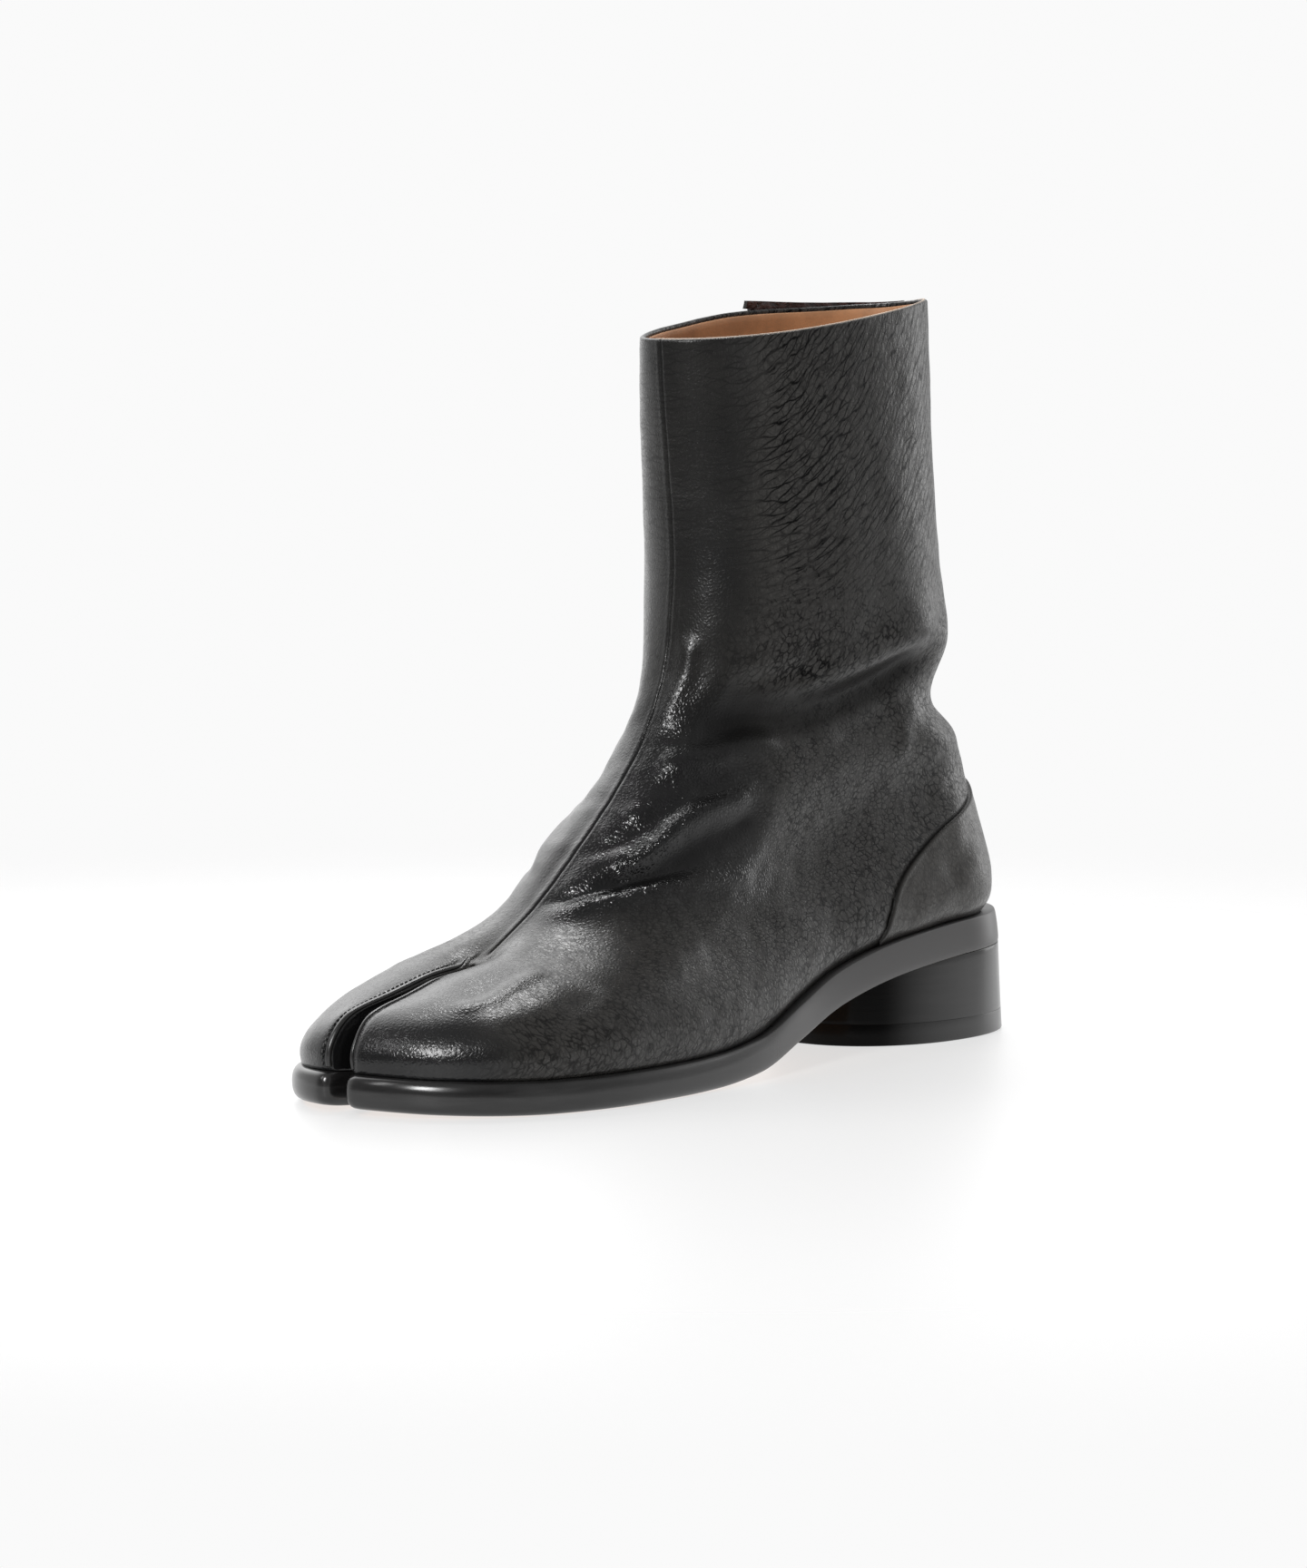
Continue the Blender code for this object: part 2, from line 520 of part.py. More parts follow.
def main():
    for thing in list(bpy.data.objects):
        bpy.data.objects.remove(thing, do_unlink=True)
    black = material("boot_leather_black", (0.018, 0.017, 0.018), 0.38)
    overlay = material("boot_leather_overlay", (0.020, 0.019, 0.020), 0.36)
    edge = material("sole_edge_black", (0.022, 0.021, 0.021), 0.30)
    stack = material("heel_stack_black", (0.020, 0.019, 0.019), 0.28)
    rubber = material("top_piece_rubber", (0.028, 0.028, 0.029), 0.55)
    sock = material("sock_leather_tan", (0.42, 0.24, 0.13), 0.55)

    pieces = [
        build_sole_like("outsole", SOLE_EDGE, sole_low, SOLE_THICK, 0.0, -0.4, edge),
        build_sole_like("insole", [(0, 0), (0, 1)], lambda y: feather(y) + GAP, INSOLE_THICK,
                        UPPER_INSET + WALL + INSOLE_PLAY, WALL + 1.2, sock),
        build_heel("heel_top_piece", [(lambda y: 0 * y, 0.0, 0.5), (lambda y: 0 * y + 0.8, 0.0, 0.0),
                                      (lambda y: 0 * y + TOP_PIECE, 0.22, 0.0)], rubber),
        build_heel("heel_block", [(lambda y: 0 * y + TOP_PIECE + GAP, 0.23, 0.0),
                                  (lambda y: sole_low(y) - GAP, 1.0, 0.0)], stack),
        build_upper("upper", black),
        build_counter("heel_counter", overlay),
        build_flap("closure_flap", overlay),
    ]
    corners = np.concatenate([[v.co[:] for v in p.data.vertices] for p in pieces])
    low, high = corners.min(0), corners.max(0)
    shift = np.array([-(low[0] + high[0]) / 2, -(low[1] + high[1]) / 2, -low[2]])
    print("shift mm", shift, "size mm", high - low)
    for p in pieces:
        for v in p.data.vertices:
            v.co = [(c + d) * MM for c, d in zip(v.co, shift)]
        p.data.update()


main()
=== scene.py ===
import math

import bmesh
import bpy
import numpy as np
from mathutils import Matrix, Vector


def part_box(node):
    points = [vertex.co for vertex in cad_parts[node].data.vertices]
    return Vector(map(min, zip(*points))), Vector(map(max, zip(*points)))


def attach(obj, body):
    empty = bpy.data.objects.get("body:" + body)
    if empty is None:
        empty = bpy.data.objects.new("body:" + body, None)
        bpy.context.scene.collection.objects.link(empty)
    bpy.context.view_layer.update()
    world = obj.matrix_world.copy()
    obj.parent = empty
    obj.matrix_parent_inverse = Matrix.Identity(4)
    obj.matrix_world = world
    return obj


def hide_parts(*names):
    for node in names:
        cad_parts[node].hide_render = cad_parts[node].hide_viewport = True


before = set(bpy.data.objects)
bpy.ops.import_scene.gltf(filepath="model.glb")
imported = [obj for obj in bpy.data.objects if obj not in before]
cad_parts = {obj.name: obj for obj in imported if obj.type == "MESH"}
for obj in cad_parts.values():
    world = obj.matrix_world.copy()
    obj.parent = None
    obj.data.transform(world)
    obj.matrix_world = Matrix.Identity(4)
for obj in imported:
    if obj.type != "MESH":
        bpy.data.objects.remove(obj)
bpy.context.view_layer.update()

# Left split-toe ankle boot.  The last is drawn in millimetres with the toe
# towards -Y, the outer side +X and the floor at z = 0, from the same sections
# as the solids, only finer; SHIFT puts it in the row frame.
MM = 0.001
TOE_Y, HEEL_Y = -133.6, 143.5
SOLE_THICK = 10.0
SOLE_TOE_ROUND = {"lateral": 72.0, "medial": 43.0}
SOLE_HEEL_ROUND = 34.0
UPPER_INSET, WALL, GAP = 2.4, 2.0, 0.3
CLEFT_BACK_Y, CLEFT_TIP_X = -75.0, -11.0
CLEFT_HALF_FRONT, CLEFT_HALF_BACK, CLEFT_LENGTH, CLEFT_CORNER = 3.5, 1.0, 58.0, 4.0
VAMP_DIP, VAMP_DIP_WIDTH, CROTCH_DIP, COLLAR_DIP = 2.2, 9.0, 2.3, 2.3
HEEL_CENTRE_Y, HEEL_HALF_WIDTH, HEEL_HALF_LENGTH = 106.4, 31.6, 40.6
HEEL_INSET, HEEL_TOP_LENGTH, HEEL_POWER, TOP_PIECE = 0.3, 39.2, 2.15, 6.6

_lo, _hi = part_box("heel_top_piece")
SHIFT = np.array([(_lo[0] + _hi[0]) / 2 / MM, (_lo[1] + _hi[1]) / 2 / MM - HEEL_CENTRE_Y, 0.0])

SOLE_PLAN = [
    (143, 30.5, 31.0), (108, 31.5, 31.5), (70, 32.5, 30.0), (35, 34.8, 26.5),
    (5, 40.4, 27.0), (-25, 45.0, 34.0), (-55, 47.3, 42.5), (-80, 47.0, 46.0),
    (-105, 46.0, 48.5), (-137, 43.5, 45.0)]
SOLE_LOW = [
    (-134, 1.7), (-121, 0.7), (-108, 0.2), (-96, 0.0), (-44, 0.0), (-28, 0.3),
    (-5, 2.3), (20, 9.4), (45, 17.2), (75, 23.0), (108, 26.2), (143.5, 27.8)]
SECTION_COLUMNS = ("yb", "yf", "zb", "zf", "follow", "scale", "bulge_l", "bulge_m",
                   "oval", "half", "front_l", "front_m", "front_p", "back", "back_p")
SECTIONS = [
    (137.9, -131.0, 38.0, 11.9, 1.00, 1.00, 0.0, 0.6, 0.00, 30.0, 68, 43, 2.20, 32, 2.25),
    (139.0, -131.4, 44.0, 16.2, 1.00, 1.00, 1.2, 1.0, 0.00, 30.0, 68, 45, 2.20, 32, 2.20),
    (139.2, -129.6, 51.0, 20.8, 1.00, 1.00, 1.6, 0.2, 0.00, 30.0, 68, 49, 2.20, 32, 2.10),
    (137.6, -125.4, 57.5, 25.6, 1.00, 1.00, 1.0, -1.6, 0.05, 30.0, 68, 53, 2.15, 32, 2.10),
    (136.1, -118.0, 63.5, 29.6, 1.00, 1.00, -0.4, -2.8, 0.10, 31.0, 68, 55, 2.10, 32, 2.10),
    (135.2, -106.5, 69.0, 33.2, 1.00, 0.99, -2.2, -2.0, 0.15, 31.0, 68, 55, 2.05, 32, 2.10),
    (134.4, -93.0, 74.0, 37.2, 1.00, 0.97, -4.2, -1.0, 0.22, 31.6, 67, 55, 2.00, 32, 2.10),
    (133.4, -75.4, 79.0, 42.4, 1.00, 0.95, -6.0, -1.8, 0.30, 32.0, 65, 54.5, 2.00, 34, 2.10),
    (131.8, -58.6, 84.0, 50.0, 0.95, 0.93, -7.5, -2.8, 0.42, 32.2, 61, 53, 2.00, 36, 2.10),
    (129.2, -44.6, 89.0, 61.0, 0.85, 0.90, -8.0, -3.4, 0.56, 32.4, 58, 49.5, 2.00, 38, 2.10),
    (124.4, -29.8, 95.0, 75.6, 0.65, 0.88, -8.0, -7.0, 0.72, 31.8, 56, 48.5, 2.00, 40, 2.10),
    (116.2, -14.4, 102.0, 92.0, 0.40, 0.86, -7.0, -7.0, 0.86, 28.8, 54, 50.5, 2.00, 42, 2.10),
    (117.6, -4.0, 110.5, 107.6, 0.15, 0.85, -6.0, -6.0, 0.96, 27.8, 52, 52, 2.00, 46, 2.10),
    (122.8, 1.2, 120.5, 120.6, 0.00, 0.85, -5.0, -5.0, 1.00, 29.8, 52, 51.5, 2.00, 50, 2.10),
    (121.4, 3.4, 133.0, 134.8, 0.00, 0.85, -5.0, -5.0, 1.00, 32.2, 53, 51, 2.00, 54, 2.05),
    (117.0, 4.2, 157.0, 155.0, 0.00, 0.85, -5.0, -5.0, 1.00, 32.6, 54, 52, 2.00, 54, 2.00),
    (115.4, 1.2, 190.0, 184.5, 0.00, 0.85, -5.0, -5.0, 1.00, 31.4, 55, 53, 2.00, 55, 2.00),
    (116.2, -1.6, 225.4, 216.0, 0.00, 0.85, -5.0, -5.0, 1.00, 28.0, 58, 56, 2.00, 58, 2.00)]
COLLAR = len(SECTIONS) - 1
COUNTER_EDGE = [(0.0, 7.1), (0.10, 6.6), (0.164, 5.85), (0.21, 5.4), (0.244, 5.0), (0.27, 4.55),
                (0.294, 4.0), (0.312, 3.5), (0.326, 2.95), (0.336, 2.3), (0.341, 1.7), (0.344, 1.0), (0.347, 0.25)]
FLAP_FROM, FLAP_TO, FLAP_LOW, FLAP_RISE = 0.02, 0.42, 12.75, 2.6

# Creases of the leather: name, height (ridge + / trough -),
# half width, then points (y, z) down the outer side, all in mm.
CREASES = [
    ("shin_ridge", 1.1, 3.2, [(4, 130), (3.1, 124.5), (2, 119), (-0.1, 114), (-2.6, 109), (-5.2, 104.7), (-7.5, 101)]),
    ("shin_trough", -0.2, 7.0, [(6, 129), (4.9, 123), (2.2, 115.6), (-1.3, 107.7), (-5.3, 101.7), (-10.9, 93.7)]),
    ("ankle_bulge", 2.2, 7.5, [(99, 128), (84, 126), (68, 122.5), (58, 119), (42, 116.5), (30, 114)]),
    ("ankle_fold", -4.2, 6.0, [(101, 117.5), (90.6, 117.4), (80.4, 115.3), (63.9, 110), (45.8, 106.2), (31.4, 104.1), (18, 104.5), (6.5, 103.7), (-0.9, 100.4), (-8.4, 95.4)]),
    ("ankle_lip", 0.8, 2.6, [(90, 111), (82.5, 109.3), (74, 107.2), (65, 104.9), (55.5, 102.4), (46.5, 100.7), (40.3, 100.1), (30, 99.5)]),
    ("ankle_under", -0.6, 3.0, [(80, 105), (70, 102.5), (58, 98.5), (45, 97)]),
    ("ankle_second", -1.0, 3.8, [(36, 118.4), (30, 117.4), (22, 116.2), (14, 114.2), (7, 111.5)]),
    ("ankle_between", 0.8, 3.0, [(40, 114.5), (33, 113), (24, 111.6), (15, 110.4)]),
    ("ankle_upper", 0.6, 3.4, [(34, 122), (27, 121), (20, 119.8), (13, 118.4)]),
    ("instep_broad", 1.5, 4.5, [(-18, 86), (-9.5, 92.2), (-3.3, 94.1), (4.5, 94.8), (10.2, 96.9), (17, 97.6), (25, 98)]),
    ("instep_gap", -0.9, 4.0, [(-20, 83), (-8.6, 87.6), (2.5, 90), (14, 92)]),
    ("instep_flat", 0.7, 4.0, [(-28, 76), (-19.9, 80.7), (-13, 82.6), (-6, 83.4)]),
    ("instep_hollow", -1.45, 3.6, [(-42, 66.6), (-34.4, 69.7), (-26.6, 74.2), (-19.6, 79.0), (-12, 82.6), (-4.0, 85.0), (3, 87.3)]),
    ("instep_ridge", 1.9, 3.0, [(-40.3, 61.5), (-31.9, 65.4), (-24.0, 70.0), (-17.0, 74.9), (-9.6, 78.5), (-1.6, 80.7), (5.1, 83.1), (13.7, 85.9)]),
    ("instep_trough", -2.6, 4.6, [(-47, 57.6), (-38, 60.8), (-31, 63), (-21.7, 66.5), (-10.1, 70), (4.7, 75), (16, 78.5)]),
    ("vamp_ridge", 0.8, 3.2, [(-58, 49.6), (-52.2, 52.7), (-47.9, 54.8), (-39.7, 57.0), (-35.6, 58.1), (-25.2, 58.7), (-19, 59.2), (-5.8, 59.8), (9, 60.5)]),
    ("vamp_swell", 0.7, 7.0, [(-50, 51), (-38, 55), (-22, 57), (-4, 58), (12, 59)]),
    ("vamp_above", -1.5, 2.8, [(-55, 52.5), (-46, 57.4), (-40.6, 59.9), (-34.4, 61.4), (-24.7, 62.2), (-12, 64.4)]),
    ("vamp_small", 0.6, 2.0, [(-40, 52.2), (-33.4, 53.9), (-24.5, 53.3)]),
    ("vamp_small_gap", -0.4, 2.0, [(-39, 54.6), (-32, 56), (-24, 55.7)]),
    ("counter_dent", -0.55, 5.0, [(118, 66), (110, 60), (102, 54), (94, 49)]),
    ("counter_swell", 0.5, 5.0, [(112, 51), (100, 46), (88, 42), (78, 39)]),
    ("heel_pull", 0.7, 4.0, [(91, 104), (80.9, 99.1), (79.6, 93.9), (79.5, 86)]),
    ("toe_crest", 0.5, 7.0, [(-120, 25), (-111.5, 29.6), (-106.6, 32.0), (-99.5, 34.5), (-92, 37.3), (-84, 39.5), (-75, 42)]),
    ("toe_streak", 0.9, 3.0, [(-114, 28.4), (-108.7, 30.0), (-101.1, 31.6), (-91.1, 34.4), (-83.0, 36.6), (-76, 38.6)]),
    ("toe_flank", -1.2, 6.0, [(-110, 20.5), (-103, 22.9), (-95, 25.5), (-87, 28.6), (-79, 31.0), (-70, 33)]),
]
INNER_SIDE_SHARE = 0.4             # the same folds, weaker, on the inner side
INNER_SWELL = 2.7                  # fullness of the inner side beside the instep seam, mm


# ------------------------------------------------------------- small curves
def spline(table, column):
    rows = sorted((r[0], r[column]) for r in table)
    x = np.array([r[0] for r in rows], float)
    y = np.array([r[1] for r in rows], float)
    n, h = len(x), np.diff(x)
    a, b = np.eye(n), np.zeros(n)
    for i in range(1, n - 1):
        a[i, i - 1:i + 2] = h[i - 1], 2 * (h[i - 1] + h[i]), h[i]
        b[i] = 6 * ((y[i + 1] - y[i]) / h[i] - (y[i] - y[i - 1]) / h[i - 1])
    m = np.linalg.solve(a, b)

    def at(q):
        q = np.clip(np.asarray(q, float), x[0], x[-1])
        i = np.clip(np.searchsorted(x, q) - 1, 0, n - 2)
        u, v = (x[i + 1] - q) / h[i], (q - x[i]) / h[i]
        return u * y[i] + v * y[i + 1] + ((u ** 3 - u) * m[i] + (v ** 3 - v) * m[i + 1]) * h[i] ** 2 / 6
    return at


def monotone(table, column=1):
    rows = sorted((r[0], r[column]) for r in table)
    x = np.array([r[0] for r in rows], float)
    y = np.array([r[1] for r in rows], float)
    h = np.diff(x)
    d = np.diff(y) / h
    m = np.zeros(len(x))
    for i in range(1, len(x) - 1):
        if d[i - 1] * d[i] > 0:
            p, q = 2 * h[i] + h[i - 1], h[i] + 2 * h[i - 1]
            m[i] = (p + q) / (p / d[i - 1] + q / d[i])
    m[0], m[-1] = d[0], d[-1]

    def at(q):
        q = np.clip(np.asarray(q, float), x[0], x[-1])
        i = np.clip(np.searchsorted(x, q) - 1, 0, len(h) - 1)
        t = (q - x[i]) / h[i]
        return ((1 + 2 * t) * (1 - t) ** 2 * y[i] + t * (1 - t) ** 2 * h[i] * m[i]
                + t * t * (3 - 2 * t) * y[i + 1] + t * t * (t - 1) * h[i] * m[i + 1])
    return at


def ease(a, b, x):
    t = np.clip((np.asarray(x, float) - a) / (b - a), 0, 1)
    return t * t * (3 - 2 * t)


plan_lateral, plan_medial = spline(SOLE_PLAN, 1), spline(SOLE_PLAN, 2)
sole_low = monotone(SOLE_LOW)
_keyed = [(k,) + row for k, row in enumerate(SECTIONS)]
section_column = {name: spline(_keyed, i + 1) for i, name in enumerate(SECTION_COLUMNS)}


def feather(y):
    return sole_low(y) + SOLE_THICK


def cleft_x(y):
    return CLEFT_TIP_X * ease(-10, -120, y)


def cleft_half(y):
    part = np.clip((CLEFT_BACK_Y - y) / CLEFT_LENGTH, 0, 1.1)
    return CLEFT_HALF_BACK + (CLEFT_HALF_FRONT - CLEFT_HALF_BACK) * part ** 2


def end_round(distance, length, power):
    q = np.clip(distance / length, 0, 1)
    return np.maximum(1 - (1 - q) ** power, 0) ** (1 / power)


# ------------------------------------------------------ outlines of the last
def outline_point(sec, phi, side):
    y = sec["yb"] + (sec["yf"] - sec["yb"]) * (1 - np.cos(phi)) / 2
    mid = sec["tip_x"] * ease(sec["yb"] - 0.25 * (sec["yb"] - sec["yf"]), sec["yf"], y)
    width = sec["lateral"](y) if side > 0 else sec["medial"](y)
    front = sec["front_l"] if side > 0 else sec["front_m"]
    e = (end_round(sec["yb"] - y, sec["back"], sec["back_p"])
         * end_round(y - sec["yf"], front, sec["front_p"]))
    return mid + side * (width - side * mid) * e, y


def half_outline(sec, side, n_side, n_corner, n_cleft):
    phi = np.linspace(0, math.pi, 1201)
    x, y = outline_point(sec, phi, side)
    wider = sec.get("slot", 0.0)
    back_y = CLEFT_BACK_Y + wider
    half = float(cleft_half(sec["yf"])) + wider
    reach = half + CLEFT_CORNER
    off = side * (x - cleft_x(y))
    k = len(phi) - 1
    while k > 0 and off[k] < reach:
        k -= 1
    part = (off[k] - reach) / max(off[k] - off[k + 1], 1e-9)
    turn = phi[k] + part * (phi[k + 1] - phi[k])
    ax, ay = outline_point(sec, np.linspace(0, turn, n_side + 1), side)
    n_front = n_corner + n_cleft
    fx, fy = outline_point(sec, turn + (math.pi - turn) * np.linspace(0, 1, n_front + 1)[1:], side)
    front = np.stack([fx, fy], 1)
    depth = back_y - sec["yf"]
    if depth > 0:
        start = np.array([ax[-1], ay[-1]])
        corner = min(CLEFT_CORNER, 0.45 * max(back_y - start[1], 0.5))
        y_wall = start[1] + corner

        def wall_half(yy):
            return np.minimum(cleft_half(yy) + wider, half)
        knee = np.array([cleft_x(start[1]) + side * wall_half(start[1]), start[1] - 0.10 * corner])
        first = np.array([cleft_x(y_wall) + side * wall_half(y_wall), y_wall])
        t = np.linspace(0, 1, n_corner + 1)[1:, None]
        bend = (1 - t) ** 2 * start + 2 * t * (1 - t) * knee + t ** 2 * first
        y_end = back_y - float(wall_half(back_y))
        n_wall = max(n_cleft - 6, 1)
        wy = y_wall + (y_end - y_wall) * np.linspace(0, 1, n_wall + 1)[1:]
        wall = np.stack([cleft_x(wy) + side * wall_half(wy), wy], 1)
        r = float(wall_half(y_end))
        a = np.linspace(0, math.pi / 2, n_cleft - n_wall + 1)[1:]
        crotch = np.stack([cleft_x(y_end) + side * r * np.cos(a), y_end + r * np.sin(a)], 1)
        blend = float(ease(0, 7, depth))
        front = (1 - blend) * front + blend * np.concatenate([bend, wall, crotch])
    return np.concatenate([np.stack([ax, ay], 1), front])


def closed_outline(sec, n_side, n_corner, n_cleft):
    lateral = half_outline(sec, 1, n_side, n_corner, n_cleft)
    medial = half_outline(sec, -1, n_side, n_corner, n_cleft)
    return np.concatenate([lateral, medial[::-1][1:-1]])


def sole_section(inset, slot=0.0):
    return {"slot": slot, "yb": HEEL_Y - inset, "yf": TOE_Y + inset, "tip_x": float(cleft_x(TOE_Y)),
            "lateral": lambda y: plan_lateral(y) - inset, "medial": lambda y: plan_medial(y) - inset,
            "front_l": SOLE_TOE_ROUND["lateral"] - inset, "front_m": SOLE_TOE_ROUND["medial"] - inset,
            "front_p": 2.2, "back": SOLE_HEEL_ROUND - inset, "back_p": 2.25}


def upper_section(s):
    v = {name: float(f(s)) for name, f in section_column.items()}
    oval = min(max(v["oval"], 0.0), 1.0)

    def width(plan, bulge):
        def at(y):
            swell = v["bulge_l"] + (bulge - v["bulge_l"]) * ease(60, -20, y)
            return (1 - oval) * ((plan(y) - UPPER_INSET) * v["scale"] + swell) + oval * v["half"]
        return at
    v["tip_x"] = float(cleft_x(v["yf"]))
    v["lateral"] = width(plan_lateral, v["bulge_l"])
    v["medial"] = width(plan_medial, v["bulge_m"])
    return v


def section_height(sec, s, x, y):
    way = np.clip((sec["yb"] - y) / (sec["yb"] - sec["yf"]), 0, 1)
    chord = feather(sec["yb"]) * (1 - way) + feather(sec["yf"]) * way
    follow = min(max(sec["follow"], 0.0), 1.0)
    swing = 0.55 * float(ease(14, 17, s))
    way = (1 - swing) * way + swing * way * way * (3 - 2 * way)
    z = follow * (feather(y) - chord) + sec["zb"] * (1 - way) + sec["zf"] * way
    near = np.exp(-(np.abs(x - cleft_x(y)) / VAMP_DIP_WIDTH) ** 2)
    z = z - VAMP_DIP * near * ease(-40, -78, y) * ease(3.0, 5.5, s) * ease(11, 8, s)
    near = np.exp(-(np.abs(x - cleft_x(y)) / 7.0) ** 2 - ((y - CLEFT_BACK_Y) / 10.0) ** 2)
    z = z - CROTCH_DIP * near * ease(4.5, 6.6, s) * ease(9.0, 7.4, s)
    z = z - COLLAR_DIP * ease(14.5, 17, s) * ease(18, -12, x) * ease(58, 104, y)
    return z if s > 0 else feather(y) + GAP


def upper_ring(s, *density):
    sec = upper_section(s)
    xy = closed_outline(sec, *density)
    return np.column_stack([xy, section_height(sec, s, xy[:, 0], xy[:, 1])])


def upper_side(s, ways):
    sec = upper_section(s)
    ways = np.asarray(ways, float)
    pts = np.zeros((len(ways), 3))
    for side in (1, -1):
        pick = (ways >= 0) if side > 0 else (ways < 0)
        if pick.any():
            x, y = outline_point(sec, np.abs(ways[pick]) * math.pi, side)
            pts[pick] = np.column_stack([x, y, section_height(sec, s, x, y)])
    return pts


def grid_normals(grid, closed):
    du = (np.roll(grid, -1, 1) - np.roll(grid, 1, 1)) if closed else np.gradient(grid, axis=1)
    dv = np.gradient(grid, axis=0)
    n = np.cross(dv, du)
    return n / np.maximum(np.linalg.norm(n, axis=2, keepdims=True), 1e-9)


def zipper(points, a, b):
    faces, i, j = [], 0, 0
    while i < len(a) - 1 or j < len(b) - 1:
        if j == len(b) - 1 or (i < len(a) - 1 and points[a[i + 1]][1] >= points[b[j + 1]][1]):
            tri, i = (a[i], a[i + 1], b[j]), i + 1
        else:
            tri, j = (a[i], b[j + 1], b[j]), j + 1
        if len(set(tri)) == 3:
            faces.append(tri)
    return faces


def sole_cap(ring, n_side, n_corner, n_cleft, first=0):
    n_half = n_side + n_corner + n_cleft
    count, crotch = len(ring), n_half
    lateral = list(range(0, n_half + 1))
    medial = [0] + [count - k for k in range(1, n_half)] + [crotch]
    faces, cut = [], []
    for chain in (lateral, medial):
        k = max(i for i in range(n_side + 1) if ring[chain[i]][1] > ring[crotch][1])
        cut.append(k)
        tip = min(range(k, n_half), key=lambda i: ring[chain[i]][1])
        faces += zipper(ring, [chain[i] for i in range(k, tip + 1)], [chain[i] for i in range(n_half, tip - 1, -1)])
    faces += zipper(ring, lateral[:cut[0] + 1], medial[:cut[1] + 1])
    faces.append((lateral[cut[0]], crotch, medial[cut[1]]))
    return [tuple(first + i for i in f) for f in faces]


def wrap(rows, cols, first=0, flip=False):
    faces = []
    for r in range(rows - 1):
        for c in range(cols):
            d = (c + 1) % cols
            q = [first + r * cols + c, first + r * cols + d, first + (r + 1) * cols + d, first + (r + 1) * cols + c]
            faces.append(q[::-1] if flip else q)
    return faces


# ------------------------------------------------------------ making pieces
def make_piece(name, points, faces, mats, mat_index=None, smooth=True, fix=True):
    """A mesh from points in mm; faces turned outwards."""
    mesh = bpy.data.meshes.new(name)
    pts = (np.asarray(points, float) + SHIFT) * MM
    mesh.from_pydata([tuple(p) for p in pts], [], [tuple(f) for f in faces])
    for m in mats:
        mesh.materials.append(m)
    if mat_index is not None:
        mesh.polygons.foreach_set("material_index", np.asarray(mat_index, np.int32))
    if fix:
        bm = bmesh.new()
        bm.from_mesh(mesh)
        bmesh.ops.recalc_face_normals(bm, faces=bm.faces)
        bm.to_mesh(mesh)
        bm.free()
    mesh.polygons.foreach_set("use_smooth", np.full(len(mesh.polygons), smooth))
    obj = bpy.data.objects.new(name, mesh)
    bpy.context.scene.collection.objects.link(obj)
    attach(obj, "root")
    return obj


def give_value(obj, name, values):
    layer = obj.data.attributes.new(name, "FLOAT", "POINT")
    layer.data.foreach_set("value", np.asarray(values, np.float32))


def near_line(points, line):
    """Distance from every point to a polyline, and how far along it (0..1)."""
    line = np.asarray(line, float)
    seg = np.diff(line, axis=0)
    length = np.linalg.norm(seg, axis=1)
    start = np.concatenate([[0], np.cumsum(length)])
    best = np.full(len(points), 1e9)
    where = np.zeros(len(points))
    for i in range(len(seg)):
        w = points - line[i]
        t = np.clip(w @ seg[i] / max(length[i] ** 2, 1e-9), 0, 1)
        d = np.linalg.norm(w - t[:, None] * seg[i], axis=1)
        hit = d < best
        best[hit] = d[hit]
        where[hit] = (start[i] + t[hit] * length[i]) / start[-1]
    return best, where


def smooth_line(points, n=24):
    """A rounder polyline through a few points."""
    p = np.asarray(points, float)
    k = np.arange(len(p))
    q = np.linspace(0, len(p) - 1, n)
    return np.column_stack([spline(list(zip(k, p[:, i])), 1)(q) for i in range(p.shape[1])])


# -------------------------------------------------------------- fine surface
OUTER = (205, 10, 22)              # points of the outer half: side, corner, cleft
INNER = (95, 10, 22)               # the same on the inner half
N_HALF = sum(OUTER)


def fine_ring(s):
    sec = upper_section(s)
    xy = np.concatenate([half_outline(sec, 1, *OUTER), half_outline(sec, -1, *INNER)[::-1][1:-1]])
    return np.column_stack([xy, section_height(sec, s, xy[:, 0], xy[:, 1])])


def even_levels(count):
    """Section numbers so that the rows of the upper are evenly far apart."""
    s = np.linspace(0, COLLAR, 341)
    rough = np.array([upper_ring(v, 16, 2, 8) for v in s])
    step = np.linalg.norm(np.diff(rough, axis=0), axis=2)
    step = 0.5 * step.mean(1) + 0.5 * step.max(1)
    run = np.concatenate([[0], np.cumsum(step)])
    return np.interp(np.linspace(0, run[-1], count), run, s)


LEVELS = even_levels(240)
base = np.array([fine_ring(s) for s in LEVELS])
base_normal = grid_normals(base, True)
ROWS, COLS = base.shape[:2]
side_of_column = np.array([1] * (N_HALF + 1) + [-1] * (COLS - N_HALF - 1))


def on_side(points_yz, side):
    """Places (y, z) on the outer (+1) or inner (-1) side of the upper."""
    cols = np.where(side_of_column == side)[0]
    flat = base[:, cols].reshape(-1, 3)
    out = []
    for y, z in points_yz:
        d = (flat[:, 1] - y) ** 2 + (flat[:, 2] - z) ** 2
        near = np.argsort(d)[:6]
        x = flat[near, 0]
        out.append((x[np.argmax(side * x)], y, z))
    return np.array(out)


crease_lines = []
for crease_name, height, half_width, pts in CREASES:
    for side in (1, -1):
        share = 1.0 if side > 0 else INNER_SIDE_SHARE
        crease_lines.append((side, height * share, half_width * (1.0 if side > 0 else 1.15),
                             smooth_line(on_side(pts, side))))

edge_ways = np.linspace(-0.347, 0.347, 185)
counter_top = monotone(COUNTER_EDGE)
counter_line = np.array([upper_side(float(counter_top(abs(w))), [w])[0] for w in edge_ways])

